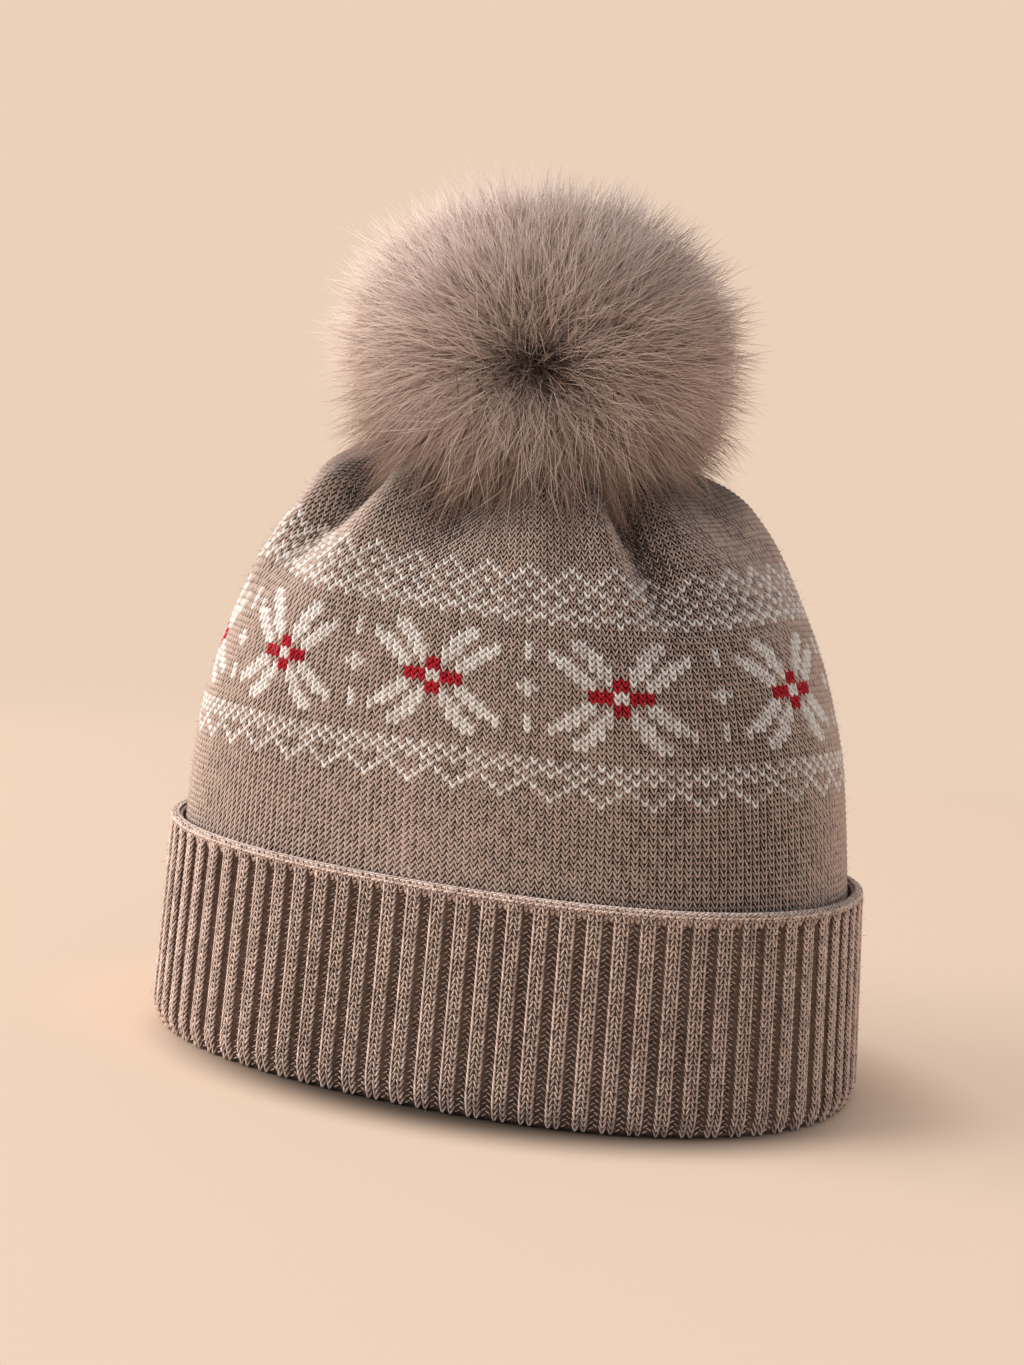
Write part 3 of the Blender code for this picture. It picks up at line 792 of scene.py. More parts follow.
crown_bottom = cuff_band_top + FIT_GAP
crown_height = CUFF_HEIGHT + CROWN_RISE - crown_bottom
eye_height = crown_bottom + crown_height * CROWN_SECTIONS[-1].rise
crown_foot_x = CUFF_LEAN_X * cuff_band_top / CUFF_HEIGHT
eye_x = crown_foot_x + CROWN_LEAN_X
eye_y = CROWN_LEAN_Y
POMPOM_HEIGHT = 0.088
POMPOM_SINK = 0.013
VALLEY_SHADE = 0.75           # how much darker the yarn is painted where a gather is deepest, as its shade
GROUND_DARK = (58, 43, 36)
GROUND_PALE = (212, 190, 177)
GAP_SHADE_DARK = (54, 40, 34)       # the crown's cloth, painted darker as shade in the gaps between stitches
GAP_SHADE_PALE = (132, 110, 99)
pompom_middle = np.array([eye_x, eye_y, eye_height - POMPOM_SINK + POMPOM_HEIGHT / 2])
# The crown's wools get shade painted in close under the pompom.
ground_wool = wool("ground_wool", GROUND_DARK, GROUND_PALE, tone_share=0.80, painted_shading_share=1.65,
                   pompom_shade_middle=pompom_middle)
crown_cloth_wool = wool("crown_cloth_wool", GAP_SHADE_DARK, GAP_SHADE_PALE, painted_shading_share=0.0,
                        pompom_shade_middle=pompom_middle)

# The knitting chart: w is white, r is red and a dot is the ground. The star is a quarter, from its
# middle outwards. The borders are written from their lowest course up.
STAR_QUARTER = (
    "wrrr........",
    "r..ww.......",
    "rw.www......",
    ".ww.www.....",
    ".www.www....",
    "..ww..www...",
    "..www...w...",
    "...www......",
    "....ww......",
)
BETWEEN_STARS = {
    7: ".w.", 6: ".w.", 5: ".w.",
    1: ".w.", 0: "www", -1: ".w.",
    -5: ".w.", -6: ".w.", -7: ".w.",
}
LOWER_BORDER = (
    "w.....",
    ".w...w",
    "..w.w.",
    "...w..",
    "w.w.w.",
    ".w.w.w",
    "w.w.w.",
)
LOWER_BORDER_COURSE = -18
LOWER_BORDER_WALE = 3
UPPER_BORDER = (
    "w..w..",
    ".ww.ww",
    "w..w..",
    "..w.w.",
    ".w...w",
    "..w.w.",
    "w..w..",
    "..w.w.",
    ".w...w",
    "w.....",
)
UPPER_BORDER_COURSE = 11


def yarn_at(course, wale):
    """The chart's letter for one stitch, counted from the middle of a star."""
    wale = wale % STAR_REPEAT
    if 0 <= course - LOWER_BORDER_COURSE < len(LOWER_BORDER):
        row = LOWER_BORDER[course - LOWER_BORDER_COURSE]
        return row[(wale - LOWER_BORDER_WALE) % len(row)]
    if 0 <= course - UPPER_BORDER_COURSE < len(UPPER_BORDER):
        row = UPPER_BORDER[course - UPPER_BORDER_COURSE]
        return row[wale % len(row)]
    from_middle = wale - STAR_REPEAT // 2 + 1
    if 0 <= from_middle <= 2 and course in BETWEEN_STARS:
        return BETWEEN_STARS[course][from_middle]
    out = course if course >= 0 else -1 - course
    across = wale if wale < STAR_REPEAT // 2 else STAR_REPEAT - 1 - wale
    return STAR_QUARTER[out][across] if out < len(STAR_QUARTER) else "."


def section_column(column, place):
    """Read a column of the section table smoothly, with no overshoot."""
    values = np.array([getattr(section, column) for section in CROWN_SECTIONS])
    steps = np.diff(values)
    before, after = steps[:-1], steps[1:]
    same_way = before * after > 0
    sums = np.where(same_way, before + after, 1.0)
    inner = np.where(same_way, 2 * before * after / sums, 0.0)
    first = steps[0] if column == "rise" else 0.0
    slopes = np.concatenate([[first], inner, [steps[-1]]])
    low = np.clip(np.floor(place).astype(int), 0, len(values) - 2)
    t = place - low
    return (
        (2 * t**3 - 3 * t**2 + 1) * values[low]
        + (t**3 - 2 * t**2 + t) * slopes[low]
        + (3 * t**2 - 2 * t**3) * values[low + 1]
        + (t**3 - t**2) * slopes[low + 1]
    )


def crown_sizes(place):
    """Half length, half width and squareness of the crown at a place."""
    base_length, base_width = cuff_half_sizes(cuff_band_top)
    return (
        (base_length - cuff_gap_inset) * section_column("length", place),
        (base_width - cuff_gap_inset) * section_column("width", place),
        section_column("squareness", place),
    )


def crown_form(place, angle):
    """The crown's outer surface before it is gathered, as points."""
    half_length, half_width, squareness = crown_sizes(place)
    power = 2.0 / squareness
    across = np.cos(angle)
    along = np.sin(angle)
    x = half_length * np.sign(across) * np.abs(across) ** power
    y = half_width * np.sign(along) * np.abs(along) ** power
    z = crown_bottom + crown_height * section_column("rise", place)
    lean = section_column("lean", place)
    return np.stack([
        crown_foot_x + CROWN_LEAN_X * lean + x, CROWN_LEAN_Y * lean + y, z + 0 * x,
    ], axis=-1)


def ease(value):
    """A smooth step from 0 to 1."""
    t = np.clip(value, 0.0, 1.0)
    return t * t * (3 - 2 * t)


def gather_relief(place, angle):
    """How far the gathers stand out of the crown's form."""
    rise = section_column("rise", place)
    onset = ease((GATHER_START - rise) / (GATHER_START - GATHER_FULL))
    relief = np.zeros(np.broadcast(place, angle).shape)
    for gather in GATHERS:
        way_down = np.clip((GATHER_FULL - rise) / (GATHER_FULL - gather.reach), 0.0, 1.0)
        middle = np.radians(gather.bearing + gather.slant * way_down)
        apart = np.abs(np.mod(angle - middle + math.pi, 2 * math.pi) - math.pi)
        hump = np.exp(-((apart / np.radians(gather.spread)) ** 2))
        relief += gather.relief * hump * onset * (1 - ease(way_down))
    return relief * GATHER_RELIEF


def crown_surface(place, angle, inset=0.0):
    """Points of the crown's gathered surface, or of one that lies a little way inside it."""
    form = crown_form(place, angle)
    upward = crown_form(place + SLOPE_STEP, angle) - crown_form(place - SLOPE_STEP, angle)
    around = crown_form(place, angle + SLOPE_STEP) - crown_form(place, angle - SLOPE_STEP)
    normals = unit(np.cross(around, upward))
    return form + normals * (gather_relief(place, angle) - inset)[..., None]


last_place = len(CROWN_SECTIONS) - 1.0
fine_places = np.linspace(0.0, last_place, FINE_PLACES)
profile_angles = np.linspace(0, 2 * math.pi, PROFILE_SIDES, endpoint=False)
profiles = crown_form(fine_places[:, None], profile_angles[None, :])
steps_up = np.linalg.norm(np.diff(profiles, axis=0), axis=-1).mean(axis=1)
climb = np.concatenate([[0.0], np.cumsum(steps_up)])
form_heights = crown_bottom + crown_height * section_column("rise", fine_places)
highest = int(np.argmax(form_heights))
star_climb = np.interp(STAR_HEIGHT, form_heights[:highest], climb[:highest])
top_climb = np.interp(HIGHEST_PLACE, fine_places, climb)
highest_course = int((top_climb - star_climb) / COURSE)
courses = np.arange(LOWEST_COURSE, highest_course)


def near(angles, bearing, spread):
    """How near angles are to a bearing, from 1 down to 0."""
    apart = np.mod(angles - math.radians(bearing) + math.pi, 2 * math.pi) - math.pi
    return np.exp(-((apart / math.radians(spread)) ** 2))


def course_places(course, angles):
    """Where a course lies at each angle, with the slight waves of real knitting."""
    quick = np.sin(QUICK_WAVES_ROUND * angles + course * WAVE_DRIFT)
    wave = np.sin(WAVES_ROUND * angles + WAVE_START) + QUICK_WAVE_SHARE * quick
    rise = 0.0
    for ride in RIDES:
        share = ease((course - ride.first) / ride.fade_in) * ease((ride.last - course) / ride.fade_out)
        rise = rise + ride.rise * share * near(angles, ride.bearing, ride.spread)
    rise = rise + WAVE_HEIGHT * wave
    return np.interp(star_climb + (course + 0.5) * COURSE + rise, climb, fine_places)


# The crown's cloth, under its stitches: a closed shell with the eye of the drawn top.
# Its colour is painted darker than the yarn, as the shade in the gaps between stitches.
CLOTH_COLUMNS = 200
CLOTH_ROWS = 44
cloth_angles = even_angles(
    np.arange(CLOTH_COLUMNS) / CLOTH_COLUMNS, *cuff_half_sizes(cuff_band_top), CUFF_SQUARENESS,
)
cloth_places = np.interp(np.linspace(0, climb[-1], CLOTH_ROWS), climb, fine_places)
outer = crown_surface(cloth_places[:, None], cloth_angles[None, :], YARN_SINK)
inner = crown_surface(cloth_places[:, None], cloth_angles[None, :], CROWN_WALL)
eye_ring = np.stack([
    eye_x + EYE_RADIUS * np.cos(cloth_angles),
    eye_y + EYE_RADIUS * np.sin(cloth_angles),
    np.full(CLOTH_COLUMNS, eye_height),
], axis=-1)
inner_eye = eye_ring - np.array([0.0, 0.0, CROWN_WALL])
crown_grid = np.concatenate([outer, eye_ring[None], inner_eye[None], inner[::-1]])
crown_cloth = new_object(
    "crown_cloth", crown_grid, grid_faces(len(crown_grid), CLOTH_COLUMNS, True), crown_cloth_wool,
)
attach(crown_cloth, "root")
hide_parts("knit_crown")

# The crown's stitches: each V is two legs of yarn that lean together at the foot.
LEG_OFFSET = 0.245            # from the wale's middle, in wales
LEG_BREADTH = 0.52
LEG_LEAN = 0.58
LEG_DIP = 0.00030             # how much deeper a leg's upper end lies
STITCH_REACH = 0.82           # half a leg's height in courses
WHITE_DARK = (178, 160, 150)
WHITE_PALE = (255, 252, 247)
RED_DARK = (84, 10, 20)
RED_PALE = (198, 45, 58)
MIDDLE_COURSE = -9            # the ground's stitches are three pieces, which meet at these courses
ABOVE_COURSE = 14
white_wool = wool("white_wool", WHITE_DARK, WHITE_PALE, painted_shading_share=0.5, pompom_shade_middle=pompom_middle)
red_wool = wool("red_wool", RED_DARK, RED_PALE)
leg_wales = np.arange(WALES)[:, None] + 0.5 + np.array([-LEG_OFFSET, LEG_OFFSET])
leg_shares = leg_wales.ravel() / WALES + FIRST_STAR
star_turns = np.mod(leg_shares - STAR_SHIFT_MIDDLE + 0.5, 1.0) - 0.5
leg_shares = leg_shares + STAR_SHIFT * np.exp(-((star_turns / STAR_SHIFT_SPREAD) ** 2))
leg_leans = np.tile([-1.0, 1.0], WALES)
quarter = 0.25 * 2 * math.pi / WALES
crown_sites = {key: [] for key in ("site", "side", "run", "lift", "hollow")}
letters = []
for course in courses:
    middle_place = float(np.interp(star_climb + (course + 0.5) * COURSE, climb, fine_places))
    angles = even_angles(leg_shares, *[float(size) for size in crown_sizes(np.array(middle_place))])
    places = course_places(course, angles)
    below = course_places(course - 0.5, angles)
    above = course_places(course + 0.5, angles)
    site = crown_surface(places, angles)
    wale_side = crown_surface(places, angles + quarter) - crown_surface(places, angles - quarter)
    wale_up = crown_surface(above, angles) - crown_surface(below, angles)
    lift = unit(np.cross(wale_side, wale_up))
    run = wale_up * STITCH_REACH + wale_side * (LEG_LEAN * leg_leans)[:, None] - lift * LEG_DIP
    across = unit(np.cross(run, lift))
    crown_sites["site"].append(site)
    crown_sites["side"].append(across * (LEG_BREADTH * np.linalg.norm(wale_side, axis=-1))[:, None])
    crown_sites["run"].append(run)
    crown_sites["lift"].append(lift * YARN_RADIUS)
    # Shade is painted into the stitches where the gathers fold into valleys.
    valley = np.minimum(gather_relief(places, angles) / GATHER_RELIEF, 0.0)
    crown_sites["hollow"].append(valley * VALLEY_SHADE)
    letters += [yarn_at(int(course), wale) for wale in range(WALES) for _ in range(2)]
crown_sites = {key: np.concatenate(values) for key, values in crown_sites.items()}
letters = np.array(letters)
leg_courses = np.repeat(courses, 2 * WALES)
ground = letters == "."
below_middle = leg_courses < MIDDLE_COURSE
above_middle = leg_courses >= ABOVE_COURSE
CROWN_PARTS = (
    ("crown_ground_below", ground & below_middle, short_yarn, ground_wool, 5),
    ("crown_ground_middle", ground & ~below_middle & ~above_middle, short_yarn, ground_wool, 6),
    ("crown_ground_above", ground & above_middle, short_yarn, ground_wool, 7),
    ("crown_white_pattern", letters == "w", plump_yarn, white_wool, 8),
    ("crown_red_pattern", letters == "r", plump_yarn, red_wool, 9),
)
for name, chosen, yarn, finish, seed in CROWN_PARTS:
    stitches = laid_yarn(name, {k: v[chosen] for k, v in crown_sites.items()}, yarn, finish, seed)
    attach(stitches, "root")
    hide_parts("knit_crown")

# The tie. A few turns of strong thread through the eye of the drawn top, held inside the crown by
# a felt button. It carries the pompom and is hidden by its fur.
TIE_DARK = (58, 44, 38)
TIE_PALE = (120, 100, 90)
tie_wool = wool("tie_thread", TIE_DARK, TIE_PALE)
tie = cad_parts["pompom_tie"]
tie.data.materials.clear()
tie.data.materials.append(tie_wool)

# The pompom. A round of fur pelt drawn together round its stuffing and sewn on, so that the hair
# stands out all round. It parts round a dark whorl at the front and lies down over the crown.
POMPOM_WIDTH = 0.107
POMPOM_FULLNESS = 3.4
PELT_DEPTH = 0.0140
PARTING_BEARING = -67.5
PARTING_TILT = -13.5
PARTING_DIMPLE = 0.0024
PARTING_SPREAD = 0.30
WHORL_SPREAD = 0.27           # how far from the parting the short crinkled hair grows, as an angle
SKIRT_REACH = 1.20            # how much longer the hair is that lies down over the crown's front
SKIRT_FALL = 1.30
TOP_DROP = 0.0042             # how much lower the pelt is at the top than its round form
PELT_CLEARANCE = 0.0022
FUR_CLEARANCE = 0.0024
HAIR_FALL = 0.22              # how far hair leans down under its weight
OWN_NORMAL_SHARE = 0.35
LOW_FUR = 0.150               # heights between which shade is painted into the hanging fur
HIGH_FUR = 0.190
LOW_SHADE_SHIFT = -0.46
FUR_ROOT = (52, 35, 28)
DOWN_MIDDLE = (134, 109, 97)
DOWN_TIP = (212, 188, 175)
FUR_MIDDLE = (158, 131, 118)
FUR_TIP = (240, 219, 207)
WHORL_ROOT = (84, 62, 53)
WHORL_MIDDLE = (170, 143, 130)
WHORL_TIP = (244, 226, 214)
FUR_DRIFT_SCALE = 70.0
TONE_SHIFT = 0.30             # how far chance moves a hair's shades along it
ROOT_END = 0.05               # where along a hair its root's shade ends and its middle shade lies
MIDDLE_SPOT = 0.55
HAIR_WIDTHS = ((0.0, 1.0), (0.4, 0.9), (0.75, 0.6))   # places along a hair and its width there
LONG_HAIR_WIDTHS = ((0.0, 1.0), (0.28, 1.0), (0.54, 0.85), (0.78, 0.6))
CRINKLE_TURN = 9.0            # how far a crinkle turns along a hair, and from hair to hair, in radians
CRINKLE_SCATTER = 40.0
FLAT_SWAY = 0.3               # how far hairs turn their flat side at random
LAYER_LEAST = 0.3             # the lowest hairs' height over the crown, as a share of the clearance
LAYER_SPREAD = 1.2            # how much higher than that the highest ones lie
SEARCH_STEPS = 26
PELT_SUBDIVISIONS = 5
TOP_START = 0.5               # how far up the pelt has to face for the full drop, 1 being straight up
COMB_STAND = 0.55             # how far hair stands up from the pelt, against lying along it
COMB_LEAST = 0.10             # how far it is combed at the back, against the front
COMB_END = 2.3                # angle from the parting where that is reached, and how far it eases
COMB_FADE = 1.2
PARTING_ROUND = 0.3           # keeps the comb short right at the parting
FRONT_START = 0.35            # where front and back begin, 1 being straight to the front or back
FRONT_FADE = 0.45
BACK_START = 0.1
BACK_FADE = 0.4
SKIRT_START = 0.10            # how far down the skirt and the bare underside begin, 1 being the foot
SKIRT_FADE = 0.45
UNDERSIDE_START = 0.58
UNDERSIDE_FRONT = 0.25        # how much lower the underside begins at the front and the back
UNDERSIDE_BACK = 0.18
UNDERSIDE_FADE = 0.15
DOWN_THINNING = 0.40          # how much of the down and of the guard hair the whorl lacks
DOWN_WHORL_SHARE = 0.7
GUARD_THINNING = 0.92


def crown_over(x, y):
    """How high the crown stands over points, or its foot beside it."""
    low = np.zeros(x.shape)
    high = np.full(x.shape, last_place)
    for _ in range(SEARCH_STEPS):
        place = (low + high) / 2
        east, north, west, south = (crown_form(place, np.radians(turn)) for turn in (0, 90, 180, 270))
        across = (2 * x - east[:, 0] - west[:, 0]) / (east[:, 0] - west[:, 0])
        along = (2 * y - north[:, 1] - south[:, 1]) / (north[:, 1] - south[:, 1])
        inside = across**2 + along**2 < 1
        low, high = np.where(inside, place, low), np.where(inside, high, place)
    angle = np.arctan2(along, across)
    return crown_form(low, angle)[:, 2] + np.maximum(gather_relief(low, angle), 0.0)


def fur_finish(name, root, middle, tip, low_shade=0.0):
    """Hair that is dark at the root and pale at the tip, with shade painted in where it hangs low."""
    finish, tree, shader = new_finish(name, roughness=0.6, gloss=0.25)
    number, _, _ = reckoning(tree)
    along = add_node(tree, "ShaderNodeAttribute", attribute_name="along").outputs["Fac"]
    tone = add_node(tree, "ShaderNodeAttribute", attribute_name="tone").outputs["Fac"]
    place = add_node(tree, "ShaderNodeTexCoord").outputs["Object"]
    drift = add_node(tree, "ShaderNodeTexNoise", {
        "Vector": place, "Scale": FUR_DRIFT_SCALE, "Detail": 3.0,
    })
    mixed = number("ADD", drift.outputs["Fac"], tone)
    reach = number("ADD", along, number("MULTIPLY_ADD", mixed, TONE_SHIFT, -TONE_SHIFT))
    height = add_node(tree, "ShaderNodeSeparateXYZ", {"Vector": place}).outputs["Z"]
    painted_low_shade = fade(tree, height, LOW_FUR, HIGH_FUR, low=low_shade, high=0.0)
    ramp = add_node(tree, "ShaderNodeValToRGB", {"Fac": number("ADD", reach, painted_low_shade)})
    ramp.color_ramp.elements[0].position = ROOT_END
    ramp.color_ramp.elements[0].color = screen(*root)
    ramp.color_ramp.elements[1].position = 1.0
    ramp.color_ramp.elements[1].color = screen(*tip)
    ramp.color_ramp.elements.new(MIDDLE_SPOT).color = screen(*middle)
    tree.links.new(ramp.outputs["Color"], shader.inputs["Base Color"])
    return finish


def hair_shape(name, widths):
    """One flat tapering hair, from 0 to 1 along Z and from -1 to 1 along X."""
    along = np.array([height for height, _ in widths for _ in (0, 1)] + [1.0])
    across = np.array([side * width for _, width in widths for side in (-1, 1)] + [0.0])
    last = 2 * len(widths)
    faces = [(k, k + 2, k + 3, k + 1) for k in range(0, last - 2, 2)]
    faces.append((last - 2, last, last - 1))
    thing = new_object(name, np.column_stack([across, 0 * along, along]), faces)
    add_layer(thing, "along", along)
    bpy.context.scene.collection.objects.unlink(thing)
    return thing


def fur_tree():
    """Grows hair over a pelt: it stands up at the root and bends over to the pelt's comb."""
    tree, given = new_tree("grow_fur", (
        ("Pelt", "Geometry"), ("Hair", "Object"), ("Ground", "Object"), ("Finish", "Material"),
        ("Density", "Float"), ("Reach", "Float"), ("Reach Spread", "Float"), ("Breadth", "Float"),
        ("Bend", "Float"), ("Stray", "Float"), ("Crinkle", "Float"),
        ("Lock Size", "Float"), ("Lock Pull", "Float"),
        ("Clearance", "Float"), ("Seed", "Int"),
    ), "Fur")
    number, vector, scaled = reckoning(tree)
    named, stored = layers(tree)
    density = number("MULTIPLY", given["Density"], named("growth", "FLOAT"))
    roots = add_node(tree, "GeometryNodeDistributePointsOnFaces", {
        "Mesh": given["Pelt"], "Density": density, "Seed": given["Seed"],
    }, distribute_method="RANDOM").outputs["Points"]
    here = add_node(tree, "GeometryNodeInputPosition").outputs["Position"]
    chance = add_node(tree, "FunctionNodeRandomValue", {"Seed": given["Seed"]}, data_type="FLOAT")
    length = add_node(tree, "FunctionNodeRandomValue", {
        2: number("SUBTRACT", 1.0, given["Reach Spread"]),
        3: number("ADD", 1.0, given["Reach Spread"]),
        "Seed": number("ADD", given["Seed"], 1),
    }, data_type="FLOAT")
    sway = add_node(tree, "FunctionNodeRandomValue", {
        0: (-1.0, -1.0, -1.0), 1: (1.0, 1.0, 1.0), "Seed": number("ADD", given["Seed"], 2),
    }, data_type="FLOAT_VECTOR")
    lock = add_node(tree, "ShaderNodeTexVoronoi", {
        "Vector": here, "Scale": number("DIVIDE", 1.0, given["Lock Size"]),
    })
    pull = scaled(vector("SUBTRACT", lock.outputs["Position"], here), given["Lock Pull"])
    roots = stored(roots, "root", here)
    roots = stored(roots, "pull", pull)
    roots = stored(roots, "sway", sway.outputs[0])
    roots = stored(roots, "tone", chance.outputs[1], "FLOAT")
    roots = stored(roots, "reach", number("MULTIPLY", given["Reach"], length.outputs[1]), "FLOAT")
    real = planted(tree, roots, given["Hair"])
    form = add_node(tree, "ShaderNodeSeparateXYZ", {
        "Vector": vector("SUBTRACT", here, named("root")),
    }).outputs
    squared = number("MULTIPLY", form["Z"], form["Z"])
    reach = named("reach", "FLOAT")
    stand, comb = named("stand"), named("comb")
    upward = scaled(stand, number("MULTIPLY", reach, form["Z"]))
    bending = number("MULTIPLY", number("MULTIPLY", reach, squared), given["Bend"])
    over = scaled(vector("SUBTRACT", comb, stand), bending)
    straying = number("MULTIPLY", number("MULTIPLY", reach, squared), given["Stray"])
    turned = number("MULTIPLY", named("tone", "FLOAT"), CRINKLE_SCATTER)
    turning = number("MULTIPLY_ADD", form["Z"], CRINKLE_TURN, turned)
    crinkled = number("MULTIPLY", form["Z"], given["Crinkle"])
    crinkling = number("MULTIPLY", number("SINE", turning), crinkled)
    wavering = vector("CROSS_PRODUCT", stand, named("sway"))
    aside = vector("ADD", scaled(named("sway"), straying), scaled(wavering, crinkling))
    flat = vector("CROSS_PRODUCT", stand, vector("ADD", comb, scaled(named("sway"), FLAT_SWAY)))
    flat = vector("ADD", vector("NORMALIZE", flat), scaled(named("sway"), FLAT_SWAY))
    flat = vector("NORMALIZE", flat)
    breadth = scaled(flat, number("MULTIPLY", form["X"], given["Breadth"]))
    spot = vector("ADD", vector("ADD", named("root"), upward), vector("ADD", over, aside))
    spot = vector("ADD", spot, scaled(named("pull"), squared))
    ground = add_node(tree, "GeometryNodeObjectInfo", {"Object": given["Ground"]}).outputs["Geometry"]
    facing = add_node(tree, "GeometryNodeInputNormal").outputs["Normal"]
    near, outward = (
        add_node(tree, "GeometryNodeSampleNearestSurface", {
            "Mesh": ground, "Value": field, "Sample Position": spot,
        }, data_type="FLOAT_VECTOR").outputs["Value"]
        for field in (here, facing)
    )
    gap = vector("DOT_PRODUCT", vector("SUBTRACT", spot, near), outward)
    layered = number("MULTIPLY_ADD", named("tone", "FLOAT"), LAYER_SPREAD, LAYER_LEAST)
    least = number("MULTIPLY", given["Clearance"], layered)
    short = number("MAXIMUM", number("SUBTRACT", least, gap), 0.0)
    spot = vector("ADD", vector("ADD", spot, scaled(outward, short)), breadth)
    return end_tree(tree, real, spot, given["Finish"], "Fur")


def face_out(mesh):
    """Turn hair's normals mostly to the way its root stands, as light meets soft fur."""
    stand = np.empty(3 * len(mesh.vertices), dtype=np.float32)
    mesh.attributes["stand"].data.foreach_get("vector", stand)
    own = np.empty_like(stand)
    mesh.vertices.foreach_get("normal", own)
    mesh.attributes.remove(mesh.attributes["stand"])
    facing = unit(stand.reshape(-1, 3) + OWN_NORMAL_SHARE * own.reshape(-1, 3))
    mesh.normals_split_custom_set_from_vertices(facing.tolist())


grow_fur = fur_tree()
crown_skin = new_object(
    "crown_skin",
    crown_surface(cloth_places[:, None], cloth_angles[None, :]),
    grid_faces(len(cloth_places), CLOTH_COLUMNS),
)

parting_bearing = math.radians(PARTING_BEARING)
parting_tilt = math.radians(PARTING_TILT)
parting = np.array([
    math.cos(parting_bearing) * math.cos(parting_tilt),
    math.sin(parting_bearing) * math.cos(parting_tilt),
    math.sin(parting_tilt),
])
ball = bmesh.new()
bmesh.ops.create_icosphere(ball, subdivisions=PELT_SUBDIVISIONS, radius=1.0)
ball_points = np.array([vert.co for vert in ball.verts])
ball_faces = [tuple(vert.index for vert in face.verts) for face in ball.faces]
ball.free()
directions = unit(ball_points)
flat_share = np.linalg.norm(directions[:, :2], axis=1)
fullness = flat_share**POMPOM_FULLNESS + np.abs(directions[:, 2]) ** POMPOM_FULLNESS
swell = np.where(directions[:, 2] < 0, fullness ** (-1 / POMPOM_FULLNESS), 1.0)
pelt_sizes = np.array([POMPOM_WIDTH, POMPOM_WIDTH, POMPOM_HEIGHT]) / 2 - PELT_DEPTH
pelt_sizes = np.tile(pelt_sizes, (len(directions), 1))
pelt_sizes[:, 2] -= TOP_DROP * ease(directions[:, 2] / TOP_START)
turned = np.arccos(np.clip(directions @ parting, -1, 1))
dip = PARTING_DIMPLE * np.exp(-((turned / PARTING_SPREAD) ** 2))
pelt_points = pompom_middle + directions * (pelt_sizes * swell[:, None] - dip[:, None])
crown_tops = crown_over(pelt_points[:, 0], pelt_points[:, 1]) + PELT_CLEARANCE
pelt_points[:, 2] = np.maximum(pelt_points[:, 2], crown_tops)
from_parting = directions * (directions @ parting)[:, None] - parting
from_parting /= np.maximum(np.linalg.norm(from_parting, axis=1), PARTING_ROUND)[:, None]
combing = COMB_LEAST + (1 - COMB_LEAST) * ease((COMB_END - turned) / COMB_FADE)
comb = directions * COMB_STAND + from_parting * combing[:, None] - np.array([0, 0, HAIR_FALL])
comb = unit(comb)
frontward = directions[:, :2] @ unit(parting[:2])
facing_front = ease((frontward - FRONT_START) / FRONT_FADE)
skirt = (facing_front * ease((-SKIRT_START - directions[:, 2]) / SKIRT_FADE))[:, None]
hanging = unit(unit(directions * np.array([1, 1, 0]) + 1e-6) - np.array([0, 0, SKIRT_FALL]))
comb = (comb * (1 - skirt) + hanging * skirt) * (1 + SKIRT_REACH * skirt)
facing_back = ease((-frontward - BACK_START) / BACK_FADE)
underside_start = UNDERSIDE_START + UNDERSIDE_FRONT * facing_front + UNDERSIDE_BACK * facing_back
underside = ease((-directions[:, 2] - underside_start) / UNDERSIDE_FADE)
whorl = np.exp(-((turned / WHORL_SPREAD) ** 2))
fur_dark = fur_finish("fur_down", FUR_ROOT, DOWN_MIDDLE, DOWN_TIP, LOW_SHADE_SHIFT)
fur_pale = fur_finish("fur_guard", FUR_ROOT, FUR_MIDDLE, FUR_TIP, LOW_SHADE_SHIFT)
fur_whorl = fur_finish("fur_whorl", WHORL_ROOT, WHORL_MIDDLE, WHORL_TIP)
pelt = new_object("pompom_pelt", pelt_points, ball_faces, fur_dark)
add_layer(pelt, "stand", directions)
add_layer(pelt, "comb", comb)
inner_whorl = np.exp(-((turned / (DOWN_WHORL_SHARE * WHORL_SPREAD)) ** 4))
whole_whorl = np.exp(-((turned / WHORL_SPREAD) ** 4))
growing = {
    "all": (1 - underside) * (1 - DOWN_THINNING * inner_whorl),
    "round the whorl": (1 - underside) * (1 - GUARD_THINNING * whole_whorl),
    "whorl": whorl,
}
add_layer(pelt, "growth", growing["all"])
hair = hair_shape("hair", HAIR_WIDTHS)
long_hair = hair_shape("long_hair", LONG_HAIR_WIDTHS)
FurCoat = namedtuple("FurCoat", """
    name growing hair finish density reach spread breadth bend stray crinkle lock pull seed
""")
FUR_COATS = (
    FurCoat("pompom_down", "all", hair, fur_dark,
            2.0e6, 0.0155, 0.22, 0.00019, 0.55, 0.16, 0.0006, 0.0050, 0.34, 11),
    FurCoat("pompom_guard_hair", "round the whorl", long_hair, fur_pale,
            1.75e6, 0.0210, 0.34, 0.00010, 0.55, 0.24, 0.0018, 0.0080, 0.38, 21),
    FurCoat("pompom_whorl_hair", "whorl", long_hair, fur_whorl,
            8.0e6, 0.0200, 0.28, 0.00013, 0.15, 0.95, 0.0054, 0.0040, 0.10, 61),
)
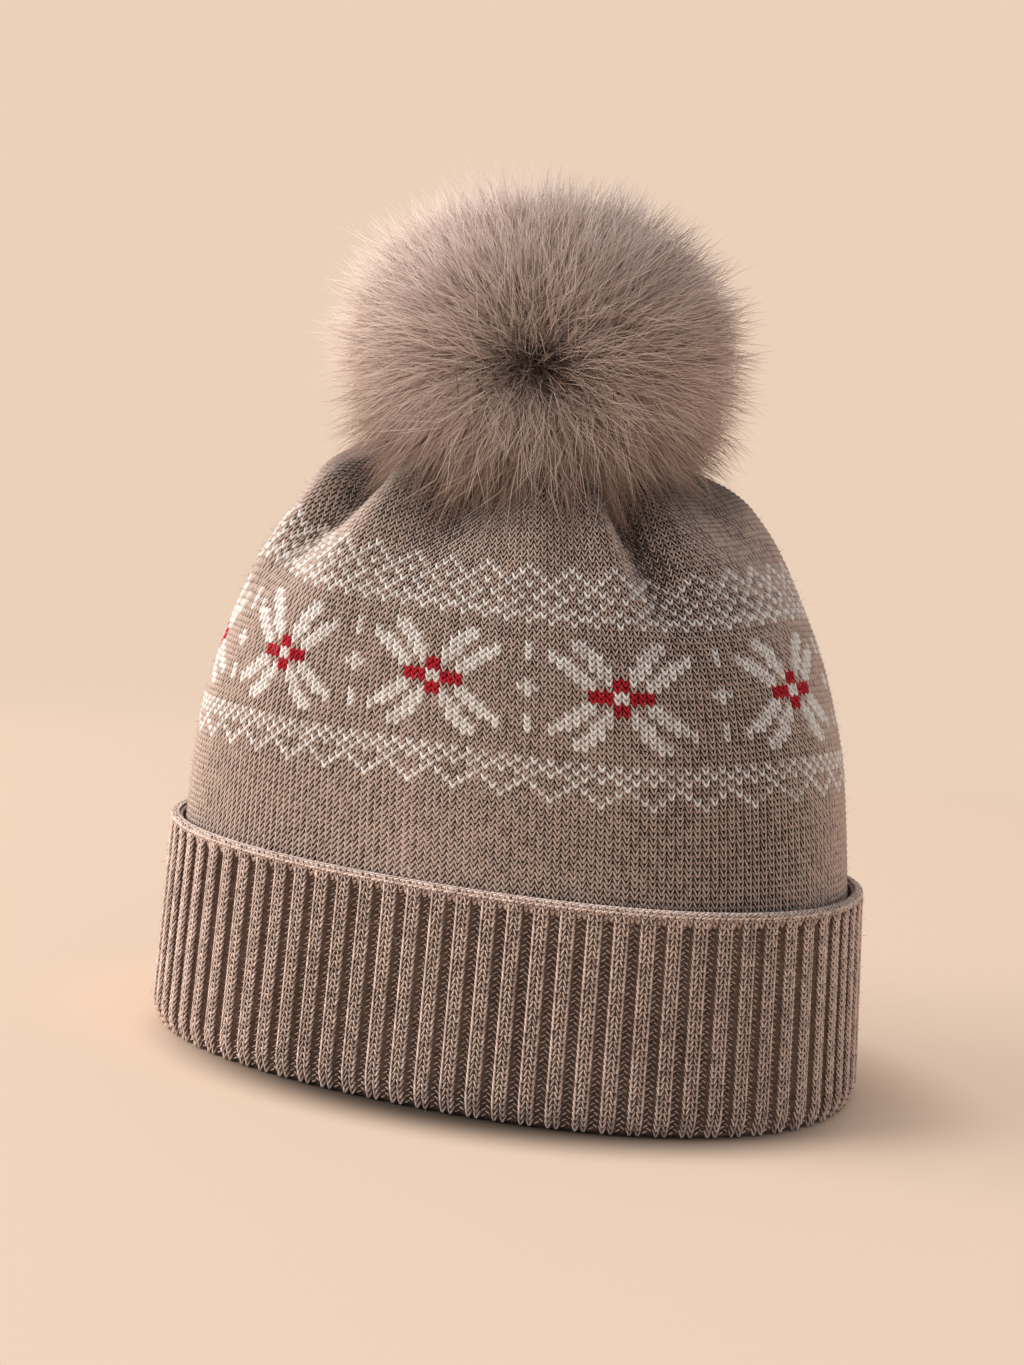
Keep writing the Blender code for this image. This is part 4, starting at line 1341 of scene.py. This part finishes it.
for coat in FUR_COATS:
    pelt.data.attributes["growth"].data.foreach_set(
        "value", np.ascontiguousarray(growing[coat.growing], dtype=np.float32),
    )
    fur = grown(coat.name, pelt, grow_fur, {
        "Hair": coat.hair, "Ground": crown_skin, "Finish": coat.finish, "Density": coat.density,
        "Reach": coat.reach, "Reach Spread": coat.spread, "Breadth": coat.breadth,
        "Bend": coat.bend, "Stray": coat.stray, "Crinkle": coat.crinkle, "Lock Size": coat.lock,
        "Lock Pull": coat.pull, "Clearance": FUR_CLEARANCE, "Seed": coat.seed,
    }, ("tone", "along", "stand"))
    face_out(fur.data)
    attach(fur, "root")
    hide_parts("pompom")
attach(pelt, "root")
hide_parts("pompom")

# The nap. Fine loose fibres of the same wool that stand off the crown and the cuff's face, spun into
# the yarn at one end and worked loose at the other.
NAP_REACH = 0.0022
NAP_BREADTH = 0.000045
NAP_FLOOR = 0.0028            # no fibre grows lower than this, where the cuff rests
NAP_COLOUR_ROOT = (150, 126, 113)
NAP_COLOUR_MIDDLE = (186, 164, 151)
NAP_COLOUR_TIP = (222, 202, 188)
NAP_DENSITY = 0.16e6
NAP_STAND = 0.3               # how far its fibres stand off the wool, against lying at random
NAP_COMB_SEED = 31
NAP_ROWS = slice(2, 18)       # the rows of the cuff's cloth that show from outside
nap_wool = fur_finish("wool_nap", NAP_COLOUR_ROOT, NAP_COLOUR_MIDDLE, NAP_COLOUR_TIP)
chance = np.random.default_rng(NAP_COMB_SEED)
skin_rows = CUFF_ROWS[NAP_ROWS]
cuff_skin = new_object(
    "cuff_skin",
    np.concatenate([
        cuff_points(rib_shares, row.inset + rib_cut(rib_shares) * GROOVE_DEPTH * row.relief, row.height)
        for row in skin_rows
    ]),
    grid_faces(len(skin_rows), len(rib_shares)),
)
for skin, name, node, slot, seed in (
    (crown_skin, "crown_nap", "knit_crown", "patterned_knit", 41),
    (cuff_skin, "cuff_nap", "ribbed_cuff", "rib_knit", 51),
):
    normals = np.array([vert.normal for vert in skin.data.vertices])
    add_layer(skin, "stand", normals)
    add_layer(skin, "comb", unit(chance.normal(size=normals.shape) + NAP_STAND * normals))
    heights = np.array([vert.co.z for vert in skin.data.vertices])
    add_layer(skin, "growth", ease((heights - NAP_FLOOR) / NAP_REACH))
    nap = grown(name, skin, grow_fur, {
        "Hair": hair, "Ground": skin, "Finish": nap_wool, "Density": NAP_DENSITY, "Reach": NAP_REACH,
        "Reach Spread": 0.6, "Breadth": NAP_BREADTH, "Bend": 0.9, "Stray": 0.6, "Crinkle": 0.0003,
        "Lock Size": 0.003, "Lock Pull": 0.2, "Clearance": 0.0003, "Seed": seed,
    }, ("tone", "along"))
    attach(nap, "root")
    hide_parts(node)
    bpy.data.objects.remove(skin, do_unlink=True)
